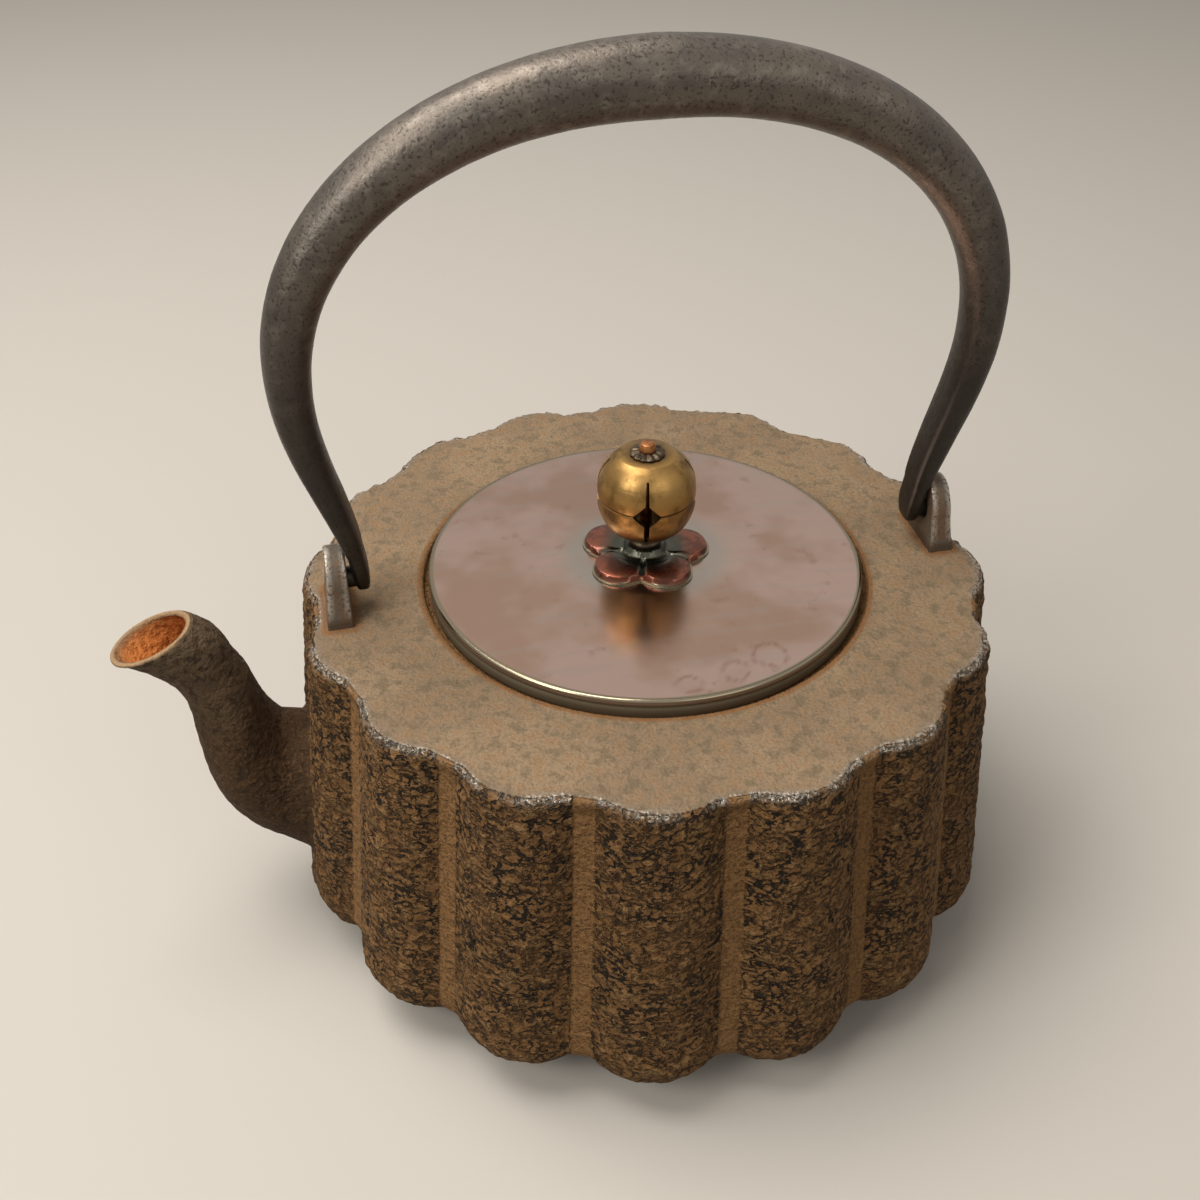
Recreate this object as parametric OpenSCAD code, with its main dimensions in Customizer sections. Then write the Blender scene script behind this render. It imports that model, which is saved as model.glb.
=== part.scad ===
// Lobed cast iron tea kettle with a plum-washer copper lid, an openwork brass knob and a hollow bail.
// Millimetres. The origin is the middle of the base, +Z is up and the spout points to -X.

/* [Kettle body] */
// Height of the flat top face above the base
body_h = 88; // [70:0.5:110]
// Radius over the lobes at the top face
crest_rim_r = 79.8; // [70:0.1:95]
// Radius over the lobes, run straight down to the base plane
crest_foot_r = 89.5; // [75:0.5:105]
// Depth of the grooves between the lobes
groove_depth = 4.6; // [2:0.1:6]
// Number of lobes round the body
lobe_count = 16; // [12:1:24]
// Radius of each lobe at the top face
lobe_rim_r = 20.5; // [16:0.5:26]
// Radius of each lobe at the base plane
lobe_foot_r = 23.5; // [18:0.5:30]
// Rounding of the lower edge
lower_round = 12; // [6:0.5:18]
// Bevel of the top edge over the lobes
rim_bevel = 2; // [0.5:0.1:3]
// Thickness of the side wall
wall = 3; // [2:0.1:5]
// Thickness of the roof
roof = 3.5; // [2.5:0.1:6]
// Thickness of the floor
floor_t = 3.5; // [2.5:0.1:6]
// Radius of the flat base that the kettle stands on
base_r = 62; // [45:0.5:70]
// Height of the base below the rounded edge
base_h = 5.5; // [3:0.5:12]

/* [Lid seat] */
// Radius of the lid plate
lid_r = 50; // [35:0.5:56]
// Gap between the lid plate and its recess
lid_gap = 1.8; // [0.5:0.1:3]
// Depth of the recess in the roof
recess_depth = 2; // [1:0.1:3]
// Width of the ledge that the lid rests on
ledge_w = 7.8; // [4:0.1:12]
// Thickness of the thickened rim under the recess
ledge_t = 4; // [2:0.1:8]

/* [Lid] */
// Height of the lid's edge above the top face
lid_proud = 2.9; // [1:0.1:5]
// Thickness of the lid plate at its edge
lid_t = 2; // [1.2:0.1:3]
// Rise of the lid from its edge to the middle pad
lid_dome = 1.5; // [0.5:0.1:6]
// Width of the standing band round the lid's edge
band_w = 2.4; // [1.2:0.1:4]
// Depth of the locating ring below the top face
ring_drop = 8; // [4:0.5:14]
// Thickness of the locating ring
ring_t = 2; // [1:0.1:3]
// Gap between the locating ring and the mouth of the kettle
ring_gap = 0.7; // [0.3:0.1:2]

/* [Plum washer] */
// Number of petals
petal_count = 5; // [4:1:8]
// Radius of each petal
petal_r = 6.2; // [4:0.1:8]
// Distance from the middle to each petal's centre
petal_offset = 9.3; // [6:0.1:12]
// Height of the petal's edge
petal_edge = 1; // [0.4:0.1:2]
// Height of the petal's crown above its edge
petal_crown = 1.2; // [0.5:0.1:3]
// Height of the raised middle of the washer
washer_h = 3.2; // [3:0.1:6]
// Radius of the raised middle of the washer
washer_boss_r = 4.6; // [3.5:0.1:6]

/* [Knob] */
// Radius of the knob over its seam
knob_r = 11.15; // [8:0.05:14]
// Height of the knob from flat to flat
knob_h = 19.6; // [14:0.5:26]
// Thickness of the knob's brass
knob_t = 1.1; // [0.8:0.1:2]
// Height of the neck between washer and knob
collar_h = 3.8; // [1.5:0.1:5]
// Radius of the neck
collar_r = 3; // [2.4:0.1:4]
// Radius of the ring at the foot of the neck
collar_ring_r = 3.6; // [3:0.1:5]
// Number of slits round the knob
slit_count = 4; // [3:1:6]
// Width of the slits in the upper half
upper_slit_w = 0.9; // [0.4:0.1:1.5]
// Width of the slits in the lower half
lower_slit_w = 1.2; // [0.4:0.1:2]
// Side of the square openings at the seam
diamond = 4.6; // [2:0.1:6]
// Radius of the fluted washer on top
top_washer_r = 4; // [3:0.1:5]
// Thickness of the fluted washer
top_washer_t = 1; // [0.6:0.1:2]
// Radius of the pin through the knob and the lid
pin_r = 1.4; // [1:0.05:2]
// Radius of the pin's head
pin_head_r = 1.9; // [1.6:0.05:3]
// Height of the pin's head
pin_head_h = 1.7; // [0.6:0.1:2]
// Radial clearance between the pin and its holes
pin_fit = 0.08; // [0.02:0.01:0.1]
// Gap above and below the turning knob
turn_gap = 0.1; // [0.05:0.01:0.3]
// Radius of the washer under the lid
under_washer_r = 5; // [3.5:0.1:8]
// Thickness of the washer under the lid
under_washer_t = 1; // [0.6:0.1:2]

/* [Lugs] */
// Distance from the middle to the inner face of each lug
lug_x = 68; // [62:0.1:74]
// Width of the lug strap
lug_w = 5.2; // [4:0.1:8]
// Radius of the lug's round top
lug_r = 8.2; // [6:0.1:11]
// Height of the bail's pivot above the top face
pivot_h = 8; // [6:0.1:12]
// Depth of the lug's foot in the roof
lug_foot = 2; // [1:0.1:3]
// Clearance round the lug's foot
foot_fit = 0.1; // [0.05:0.01:0.3]
// Gap between the bail's hook and the hole in the lug
hook_gap = 0.4; // [0.3:0.05:1]

/* [Bail] */
// Height of the bail's centre line above its pivot
bail_h = 103.5; // [85:0.5:125]
// Height at which the bail is widest
bail_waist_h = 47; // [35:0.5:60]
// Half width of the bail's centre line at its widest
bail_half_w = 74.2; // [66:0.1:80]
// Half width of the centre line at the leg ends
bail_end_half_w = 63.4; // [58:0.1:68]
// Width of the bail at the top, in its own plane
bail_top_w = 15.8; // [10:0.1:20]
// Width of the bail at the leg ends, in its own plane
bail_end_w = 5.2; // [4:0.1:8]
// Breadth of the bail at the top, across its plane
bail_top_b = 14.5; // [10:0.1:20]
// Breadth of the bail at the leg ends, across its plane
bail_end_b = 9; // [5:0.1:10]
// Length of the flat blade at each end
bail_blade = 10; // [6:0.5:20]
// Thickness of the rolled iron of the bail
bail_t = 1.4; // [0.8:0.1:3]
// Radius of the hooks that turn in the lugs
hook_r = 2.4; // [1.8:0.1:3.5]
// Length of the hook's tip outside the lug
hook_tip = 0.9; // [0.5:0.1:4]

/* [Spout] */
// Height of the spout's middle at the wall
spout_root_z = 37.9; // [30:0.1:50]
// Height of the spout's foot on the wall
spout_root_h = 31.7; // [28:0.1:44]
// Breadth of the spout's foot on the wall
spout_root_w = 31; // [28:0.1:40]
// Distance from the kettle's middle to the centre of the mouth
spout_reach = 112.1; // [104:0.1:130]
// Height of the centre of the mouth above the base
spout_mouth_z = 86.2; // [75:0.1:100]
// Outer length of the oval mouth, away from the kettle
spout_mouth_d = 19.8; // [14:0.1:26]
// Outer width of the oval mouth, from side to side
spout_mouth_w = 16.1; // [14:0.1:26]
// Outer diameter of the neck
spout_neck_d = 15.8; // [12:0.1:22]
// Outward lean of the mouth
spout_lean = 20; // [0:1:45]
// Reach of the line's bulge away from the wall
spout_belly = 23.4; // [10:0.1:26]
// Rise of the line's bulge above the root
spout_rise = 16.1; // [0:0.1:20]
// Length of the line's bend under the mouth
spout_sweep = 23.7; // [12:0.1:30]
// Slant of that bend, past the lean of the mouth
spout_bow = 44.6; // [20:0.1:55]
// Thickness of the spout's wall at the mouth
spout_t = 1.7; // [1.2:0.1:3]
// Radius of the passage through the kettle's wall
passage_r = 10.5; // [6:0.1:14]
// Thickness of the spigot that sits in the wall
spigot_t = 2; // [1:0.1:3]
// Radial clearance of the spigot
spigot_fit = 0.1; // [0.02:0.01:0.3]
// Height of the flat seat for the spout over the lobes
seat_proud = 0.6; // [0.2:0.1:2]

/* [Hidden] */
$fn = 96;
tiny = 0.01;
flare = atan((crest_foot_r - crest_rim_r) / body_h);
groove_side = groove_depth / cos(flare);
lobe_step = 360 / lobe_count;
lobe_lean = atan(((crest_foot_r - lobe_foot_r) - (crest_rim_r - lobe_rim_r)) / body_h);
recess_r = lid_r + lid_gap;
mouth_r = recess_r - ledge_w;
ledge_r = recess_r + ledge_t;
ring_r = mouth_r - ring_gap;
lid_edge_z = body_h + lid_proud;
lid_under_z = lid_edge_z - lid_t;
pad_z = lid_edge_z + lid_dome;
pad_r = petal_offset + petal_r + 1;
collar_z = pad_z + washer_h;
knob_z = collar_z + collar_h + turn_gap;
knob_mid_z = knob_z + knob_h / 2;
knob_flat_r = sqrt(knob_r * knob_r - knob_h * knob_h / 4);
top_washer_z = knob_z + knob_h;
head_z = top_washer_z + top_washer_t + turn_gap;
hole_r = pin_r + pin_fit;
pivot_z = body_h + pivot_h;
hook_x = lug_x + lug_w + hook_tip;
seat_x = crest_rim_r + (body_h - spout_root_z) * tan(flare) + seat_proud;

// Radius of the straight wall line at a height, set in by a distance
function wall_r(z, inset) = crest_foot_r - z * tan(flare) - inset / cos(flare);

// Half section of the body: straight flared wall, rounded lower edge, bevelled top edge
module body_section(inset, low, high, r_low, bevel) {
    x_low = wall_r(low + r_low, inset + r_low);
    union() {
        polygon([[0, low], [x_low, low], [x_low, low + r_low],
            [x_low + r_low * cos(flare), low + r_low + r_low * sin(flare)],
            [wall_r(high - bevel, inset), high - bevel],
            [wall_r(high, inset) - bevel, high], [0, high]]);
        translate([x_low, low + r_low]) circle(r = r_low);
    }
}

// Ring of leaning cones that stand for the lobes
module lobe_ring(inset) {
    for (i = [0:lobe_count - 1])
        rotate([0, 0, (i + 0.5) * lobe_step])
            translate([crest_foot_r - lobe_foot_r, 0, 0])
                rotate([0, -lobe_lean, 0])
                    translate([0, 0, -10])
                        cylinder(h = body_h + 24, r1 = lobe_foot_r - inset, r2 = lobe_rim_r - inset);
}

// Whole lobed form, set in by the wall for the inside
module lobed_form(inset, low, high) {
    bevel = inset > 0 ? 0 : rim_bevel;
    union() {
        intersection() {
            lobe_ring(inset);
            rotate_extrude() body_section(inset, low, high, lower_round - inset, bevel);
        }
        rotate_extrude()
            body_section(inset + groove_depth, low + groove_depth, high,
                lower_round - inset - groove_depth, 0);
    }
}

// Foot of a lug, also used as the cutter of its socket
module lug_foot_block(extra) {
    translate([lug_x - extra, -lug_r - extra, body_h - lug_foot - extra])
        cube([lug_w + 2 * extra, 2 * (lug_r + extra), lug_foot + pivot_h]);
}

// Upright stadium with its middle at the spout's root
module seat_outline(h, w) {
    union() {
        square([h - w, w], center = true);
        translate([(h - w) / 2, 0]) circle(d = w);
        translate([-(h - w) / 2, 0]) circle(d = w);
    }
}

module kettle_body() {
    color("#6b4a34") difference() {
        union() {
            difference() {
                union() {
                    lobed_form(0, base_h, body_h);
                    cylinder(h = base_h + tiny, r1 = base_r - 2, r2 = base_r);
                    intersection() {
                        translate([-seat_x, 0, spout_root_z]) rotate([0, 90, 0])
                            linear_extrude(height = 14) seat_outline(spout_root_h, spout_root_w);
                        translate([0, 0, base_h]) cylinder(h = body_h - base_h, r = crest_foot_r + 5);
                    }
                }
                lobed_form(wall, base_h + floor_t, body_h - roof);
                translate([0, 0, floor_t]) cylinder(h = base_h + lower_round, r = base_r - wall - 2);
            }
            translate([0, 0, body_h - recess_depth - ledge_t])
                cylinder(h = recess_depth + ledge_t - tiny, r = ledge_r);
        }
        translate([0, 0, body_h - recess_depth]) cylinder(h = recess_depth + 5, r = recess_r);
        translate([0, 0, body_h / 2]) cylinder(h = body_h, r = mouth_r);
        for (side = [0, 180]) rotate([0, 0, side]) lug_foot_block(foot_fit);
        translate([-seat_x - 1, 0, spout_root_z]) rotate([0, 90, 0])
            cylinder(h = 30, r = passage_r + spigot_t + spigot_fit);
    }
}

// Points of the spout's middle line, from the wall to the mouth
spout_p0 = [-seat_x, spout_root_z];
spout_p1 = spout_p0 + [-spout_belly, spout_rise];
spout_p3 = [-spout_reach, spout_mouth_z];
spout_p2 = spout_p3 + spout_sweep * [sin(spout_lean + spout_bow), -cos(spout_lean + spout_bow)];
spout_neck_at = 0.74;
spout_rings = 20;
spout_sides = 24;
function spout_mid(t) = pow(1 - t, 3) * spout_p0 + 3 * t * pow(1 - t, 2) * spout_p1
    + 3 * t * t * (1 - t) * spout_p2 + pow(t, 3) * spout_p3;
function spout_tilt(t) = 90 - (90 - spout_lean) * pow(t, 0.84);
function ease(t) = (1 - cos(180 * min(max(t, 0), 1))) / 2;
function spout_size(root, neck, mouth, t) = t < spout_neck_at
    ? root + (neck - root) * ease(pow(t / spout_neck_at, 1.43))
    : neck + (mouth - neck) * pow((t - spout_neck_at) / (1 - spout_neck_at), 1.6);
// One ring of the spout: an ellipse across the middle line
function spout_ring(t, high, broad) = [for (k = [0:spout_sides - 1])
    let (a = 360 * k / spout_sides, m = spout_mid(t), tilt = spout_tilt(t))
    [m[0] + high / 2 * cos(a) * cos(tilt), broad / 2 * sin(a), m[1] + high / 2 * cos(a) * sin(tilt)]];
function spout_outer(t) = spout_ring(t, spout_size(spout_root_h, spout_neck_d, spout_mouth_d, t),
    spout_size(spout_root_w, spout_neck_d, spout_mouth_w, t));
function spout_bore(mouth, t) = spout_size(2 * passage_r, spout_neck_d - 2 * spout_t, mouth - 2 * spout_t, t);
function spout_inner(t) = spout_ring(t, spout_bore(spout_mouth_d, t), spout_bore(spout_mouth_w, t));
// Quads between two rings of points, as index lists
function band(a, b, n) = [for (k = [0:n - 1]) [a + k, a + (k + 1) % n, b + (k + 1) % n, b + k]];

// Closed sweep through a list of rings
module ring_sweep(rings) {
    n = len(rings[0]);
    last = len(rings) - 1;
    polyhedron(
        points = [for (r = rings) each r],
        faces = [for (i = [0:last - 1]) each band((i + 1) * n, i * n, n),
            [for (k = [0:n - 1]) k], [for (k = [n - 1:-1:0]) last * n + k]],
        convexity = 8);
}

module spout() {
    past = [-sin(spout_lean), 0, cos(spout_lean)];
    spigot_l = wall + 5;
    color("#5c4334") difference() {
        union() {
            ring_sweep([for (i = [0:spout_rings]) spout_outer(i / spout_rings)]);
            translate([-seat_x - 1, 0, spout_root_z]) rotate([0, 90, 0])
                cylinder(h = spigot_l + 1, r = passage_r + spigot_t);
        }
        ring_sweep(concat([for (i = [0:spout_rings]) spout_inner(i / spout_rings)],
            [[for (p = spout_inner(1)) p + past]]));
        translate([-seat_x - tiny, 0, spout_root_z]) rotate([0, 90, 0])
            cylinder(h = spigot_l + 2, r = passage_r * cos(180 / spout_sides));
    }
}

// Half-ring strap with two feet in the roof and a hole for the bail's hook
module lug() {
    color("#6d6259") difference() {
        union() {
            lug_foot_block(0);
            translate([lug_x, 0, pivot_z]) rotate([0, 90, 0]) cylinder(h = lug_w, r = lug_r);
        }
        translate([lug_x - 1, 0, pivot_z]) rotate([0, 90, 0])
            cylinder(h = lug_w + 2, r = hook_r + hook_gap);
    }
}

module front_lug() { rotate([0, 0, 180]) lug(); }

module rear_lug() { lug(); }

// Middle line of the bail: legs that draw in to the lugs, and a half ellipse over the top
bail_leg_steps = 9;
bail_arch_steps = 30;
bail_sides = 16;
bail_leg_foot = -hook_r - 0.6;
function bail_leg(v) = bail_end_half_w + (bail_half_w - bail_end_half_w)
    * ease((v - bail_leg_foot) / (bail_waist_h - bail_leg_foot));
// Fullness of the arch's shoulders: 1 gives an ellipse, less gives squarer shoulders
arch_fullness = 0.943;
function full(x) = sign(x) * pow(abs(x), arch_fullness);
function bail_line() = let (rise = bail_waist_h - bail_leg_foot) concat(
    [for (i = [0:bail_leg_steps - 1]) let (v = bail_leg_foot + rise * i / bail_leg_steps) [-bail_leg(v), v]],
    [for (i = [0:bail_arch_steps]) let (a = 180 - 180 * i / bail_arch_steps)
        [bail_half_w * full(cos(a)), bail_waist_h + (bail_h - bail_waist_h) * full(sin(a))]],
    [for (i = [bail_leg_steps - 1:-1:0]) let (v = bail_leg_foot + rise * i / bail_leg_steps) [bail_leg(v), v]]);
// Share of the growth from the blade, 0, to the top, 1, by the way along the line to a ring
function bail_runs(line) = [for (i = 0, run = 0; i < len(line); i = i + 1,
    run = run + (i < len(line) ? norm(line[i] - line[i - 1]) : 0)) run];
function bail_share(runs, i) = let (half = runs[len(runs) - 1] / 2, way = half - abs(runs[i] - half))
    pow(max(way - bail_blade, 0) / (half - bail_blade), 0.61);
function bail_ring(line, runs, i, inset) = let (
    count = len(line), s = bail_share(runs, i),
    back = line[max(i - 1, 0)], ahead = line[min(i + 1, count - 1)],
    run = norm(ahead - back), nx = (ahead[1] - back[1]) / run, nz = -(ahead[0] - back[0]) / run,
    w = bail_end_w + (bail_top_w - bail_end_w) * s - 2 * inset,
    b = bail_end_b + (bail_top_b - bail_end_b) * s - 2 * inset)
    [for (k = [0:bail_sides - 1]) let (a = 360 * (k + 0.5) / bail_sides)
        [line[i][0] + nx * w / 2 * cos(a), b / 2 * sin(a), pivot_z + line[i][1] + nz * w / 2 * cos(a)]];

// Closed sweep along the bail's middle line, from one ring to another
module bail_sweep(inset, first, last) {
    line = bail_line();
    runs = bail_runs(line);
    ring_sweep([for (i = [first:last]) bail_ring(line, runs, i, inset)]);
}

module bail() {
    count = len(bail_line());
    color("#2b2523") difference() {
        union() {
            bail_sweep(0, 0, count - 1);
            for (side = [0, 180]) rotate([0, 0, side])
                translate([bail_end_half_w - 1, 0, pivot_z]) rotate([0, 90, 0])
                    cylinder(h = hook_x - bail_end_half_w + 1, r = hook_r);
        }
        bail_sweep(bail_t, bail_leg_steps - 4, count - 1 - bail_leg_steps + 4);
    }
}

module lid_plate() {
    color("#6e4038") difference() {
        union() {
            rotate_extrude() polygon([[0, lid_under_z], [lid_r, lid_under_z], [lid_r, lid_edge_z - 0.5],
                [lid_r - 0.5, lid_edge_z], [pad_r, pad_z], [0, pad_z]]);
            translate([0, 0, body_h - recess_depth]) difference() {
                cylinder(h = lid_under_z - body_h + recess_depth + tiny, r = lid_r);
                translate([0, 0, -1]) cylinder(h = recess_depth + lid_proud + 2, r = lid_r - band_w);
            }
        }
        translate([0, 0, body_h - 5]) cylinder(h = 20, r = hole_r);
    }
}

module lid_locating_ring() {
    color("#5d362e") translate([0, 0, body_h - ring_drop]) difference() {
        cylinder(h = ring_drop + lid_under_z - body_h, r = ring_r);
        translate([0, 0, -1]) cylinder(h = ring_drop + lid_proud + 2, r = ring_r - ring_t);
    }
}

// Round petals under one crowned face, with a raised middle
module plum_washer() {
    color("#9c4a38") translate([0, 0, pad_z]) difference() {
        intersection() {
            union() {
                for (i = [0:petal_count - 1]) rotate([0, 0, 360 / petal_count * i])
                    translate([petal_offset, 0, 0]) cylinder(h = washer_h, r = petal_r);
                cylinder(h = washer_h, r = petal_offset);
            }
            rotate_extrude() polygon([[0, 0], [petal_offset + petal_r + 1, 0],
                [petal_offset + petal_r + 1, petal_edge], [petal_offset + petal_r, petal_edge],
                [petal_offset, petal_edge + petal_crown], [washer_boss_r + 0.5, petal_edge + petal_crown],
                [washer_boss_r, washer_h], [0, washer_h]]);
        }
        translate([0, 0, -1]) cylinder(h = washer_h + 2, r = hole_r);
    }
}

module knob_collar() {
    color("#4a3a30") translate([0, 0, collar_z]) difference() {
        union() {
            cylinder(h = collar_h, r = collar_r);
            cylinder(h = collar_h / 3, r = collar_ring_r);
        }
        translate([0, 0, -1]) cylinder(h = collar_h + 2, r = hole_r);
    }
}

// Upper half of the hollow knob about its seam, with slits and square openings
module knob_half(slit_w, slit_share) {
    difference() {
        intersection() {
            sphere(r = knob_r);
            cylinder(h = knob_h / 2, r = knob_r + 1);
        }
        intersection() {
            sphere(r = knob_r - knob_t);
            translate([0, 0, -1]) cylinder(h = knob_h / 2 - knob_t + 1, r = knob_r);
        }
        for (i = [0:slit_count - 1]) rotate([0, 0, 360 / slit_count * i - 103]) {
            translate([knob_flat_r - 1, -slit_w / 2, -1]) cube([knob_r, slit_w, knob_h / 2 * slit_share + 1]);
            translate([knob_flat_r, 0, 0]) rotate([45, 0, 0])
                translate([0, -diamond / 2, -diamond / 2]) cube([knob_r, diamond, diamond]);
        }
        translate([0, 0, -1]) cylinder(h = knob_h, r = hole_r);
    }
}

module knob_lower_shell() {
    color("#b58a3c") translate([0, 0, knob_mid_z]) mirror([0, 0, 1]) knob_half(lower_slit_w, 0.8);
}

module knob_upper_shell() {
    color("#b58a3c") translate([0, 0, knob_mid_z]) knob_half(upper_slit_w, 0.84);
}

// Fluted washer that caps the knob
module knob_top_washer() {
    flutes = 12;
    color("#3d352c") translate([0, 0, top_washer_z]) difference() {
        cylinder(h = top_washer_t, r = top_washer_r);
        for (i = [0:flutes - 1]) rotate([0, 0, 360 / flutes * i])
            translate([top_washer_r, 0, -1]) cylinder(h = top_washer_t + 2, r = top_washer_r * 0.11);
        translate([0, 0, -1]) cylinder(h = top_washer_t + 2, r = hole_r);
    }
}

module knob_pin() {
    tail_z = lid_under_z - under_washer_t - 0.8;
    color("#a5603c") union() {
        translate([0, 0, tail_z]) cylinder(h = head_z - tail_z + tiny, r = pin_r);
        translate([0, 0, head_z]) cylinder(h = pin_head_h, r1 = pin_head_r, r2 = pin_head_r - 0.3);
        translate([0, 0, tail_z]) cylinder(h = 0.8, r = pin_r + 0.8);
    }
}

module pin_under_washer() {
    color("#5d362e") translate([0, 0, lid_under_z - under_washer_t]) difference() {
        cylinder(h = under_washer_t, r = under_washer_r);
        translate([0, 0, -1]) cylinder(h = under_washer_t + 2, r = hole_r);
    }
}

kettle_body();
spout();
front_lug();
rear_lug();
bail();
lid_plate();
lid_locating_ring();
plum_washer();
knob_collar();
knob_lower_shell();
knob_upper_shell();
knob_top_washer();
knob_pin();
pin_under_washer();
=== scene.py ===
"""Looks of a lobed cast iron water kettle with an upright bail, a copper lid and a bell knob.

The kettle stands on its base at z = 0. X runs from the spout (low end) to the rear lug and is the
direction of the bail's hinge, Y runs from front to back, and Z is up. Sizes in this file are
millimetres and are turned to metres when a mesh is made.
"""

import itertools
import logging
import math
from dataclasses import dataclass, field
from enum import Enum
from typing import Iterable, Sequence

import bmesh
import bpy
import numpy as np
from mathutils import Matrix, Vector


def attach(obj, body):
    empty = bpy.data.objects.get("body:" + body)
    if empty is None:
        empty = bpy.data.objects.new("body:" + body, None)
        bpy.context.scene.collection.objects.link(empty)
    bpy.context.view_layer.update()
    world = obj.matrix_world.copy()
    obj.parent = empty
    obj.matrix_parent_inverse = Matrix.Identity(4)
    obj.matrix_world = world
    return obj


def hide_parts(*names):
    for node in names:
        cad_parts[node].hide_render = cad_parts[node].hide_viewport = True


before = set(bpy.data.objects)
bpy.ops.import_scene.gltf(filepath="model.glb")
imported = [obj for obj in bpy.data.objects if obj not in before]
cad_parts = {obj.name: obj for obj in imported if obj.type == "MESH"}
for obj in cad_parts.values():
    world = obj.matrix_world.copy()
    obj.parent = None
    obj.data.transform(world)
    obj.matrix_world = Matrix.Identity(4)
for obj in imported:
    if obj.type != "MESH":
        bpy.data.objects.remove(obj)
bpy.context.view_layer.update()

LOG = logging.getLogger("kettle")
MM = 0.001
CRISP_EDGE = 50
WELD_GAP = 0.002
NOISE_GAIN = 1.7
LAYERED_GAIN = 1.6
Colour = tuple[float, float, float, float]
Socket = bpy.types.NodeSocket


# ---------------------------------------------------------------- numbers and noise


def linear(code: str) -> Colour:
    """Turns an sRGB hex colour into linear light.

    Args:
        code: Six hex digits with a leading hash sign.

    Returns:
        Red, green, blue and an alpha of 1.
    """
    parts = (int(code[i : i + 2], 16) / 255 for i in (1, 3, 5))
    r, g, b = (p / 12.92 if p <= 0.04045 else ((p + 0.055) / 1.055) ** 2.4 for p in parts)
    return (r, g, b, 1.0)


def smooth(low: float, high: float, value: np.ndarray) -> np.ndarray:
    """Soft step from 0 at low to 1 at high; low may lie above high."""
    t = np.clip((np.asarray(value, float) - low) / (high - low), 0.0, 1.0)
    return t * t * (3.0 - 2.0 * t)


def ease(t: float) -> float:
    """Half a cosine wave from 0 to 1."""
    return (1.0 - math.cos(math.pi * min(max(t, 0.0), 1.0))) / 2.0


def soft_max(a: np.ndarray, b: np.ndarray, blend: float) -> np.ndarray:
    """The larger of two values, with a rounded corner of size blend where they cross."""
    h = np.clip(0.5 + 0.5 * (a - b) / blend, 0.0, 1.0)
    return b + (a - b) * h + blend * h * (1.0 - h)


@dataclass(frozen=True)
class SolidNoise:
    """Gradient noise that fills space and is the same on each run."""

    seed: int

    def at(self, points: np.ndarray, size: Sequence[float]) -> np.ndarray:
        """Noise from about -1 to 1.

        Args:
            points: Places in millimetres, one row each.
            size: Width of one lump along x, y and z, in millimetres.

        Returns:
            One value for each place.
        """
        table = np.random.default_rng(self.seed).normal(size=(256, 3))
        table /= np.linalg.norm(table, axis=1)[:, None]
        spot = points / np.asarray(size, float)
        cell = np.floor(spot).astype(np.int64)
        part = spot - cell
        fade = part**3 * (part * (part * 6.0 - 15.0) + 10.0)
        total = np.zeros(len(points))
        for corner in itertools.product((0, 1), repeat=3):
            c = cell + corner
            code = (c[:, 0] * 73856093) ^ (c[:, 1] * 19349663) ^ (c[:, 2] * 83492791)
            slope = table[(code ^ (code >> 9)) & 255]
            weight = np.prod(np.where(np.array(corner) == 1, fade, 1.0 - fade), axis=1)
            total += weight * ((part - corner) * slope).sum(axis=1)
        return total * NOISE_GAIN

    def layers(self, points: np.ndarray, size: Sequence[float], count: int) -> np.ndarray:
        """Noise with finer and fainter layers added.

        Args:
            points: Places in millimetres, one row each.
            size: Width of one lump of the coarsest layer along x, y and z, in millimetres.
            count: Number of layers, each half as wide and as strong as the one before.

        Returns:
            One value for each place.
        """
        total = np.zeros(len(points))
        for i in range(count):
            finer = np.asarray(size, float) / 2**i
            total += SolidNoise(self.seed + 31 * i).at(points, finer) / 2**i
        return total / LAYERED_GAIN


# ---------------------------------------------------------------- meshes


def angles(count: int) -> np.ndarray:
    """Angles in radians that go once round in even steps."""
    return np.linspace(0, 2 * math.pi, count, endpoint=False)


def hoop(turn: np.ndarray, radius: float | np.ndarray, height: float | np.ndarray) -> np.ndarray:
    """Points round the Z axis, one row each, at the given angles, radii and heights."""
    level = np.broadcast_to(height, turn.shape)
    return np.stack([radius * np.cos(turn), radius * np.sin(turn), level], axis=1)


def make_mesh(
    name: str,
    points: np.ndarray,
    faces: Iterable[Sequence[int]],
    layers: dict[str, np.ndarray] | None = None,
) -> bpy.types.Object:
    """Makes a smooth-shaded object from points in millimetres.

    Args:
        name: Name of the piece.
        points: One row of x, y and z for each point.
        faces: Point numbers of each face, anticlockwise from outside.
        layers: Values stored on the points, by name, for the materials.

    Returns:
        The new object, linked to the scene.
    """
    mesh = bpy.data.meshes.new(name)
    mesh.from_pydata(np.asarray(points, float) * MM, [], [tuple(f) for f in faces])
    for layer, values in (layers or {}).items():
        mesh.attributes.new(layer, "FLOAT", "POINT").data.foreach_set(
            "value", np.asarray(values, np.float32)
        )
    mesh.validate()
    obj = bpy.data.objects.new(name, mesh)
    bpy.context.scene.collection.objects.link(obj)
    shade_smooth(obj, CRISP_EDGE)
    return obj


def shade_smooth(obj: bpy.types.Object, angle: float) -> None:
    """Shades a mesh smooth, but keeps edges sharper than an angle in degrees crisp."""
    obj.data.shade_smooth()
    obj.data.set_sharp_from_angle(angle=math.radians(angle))


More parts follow.
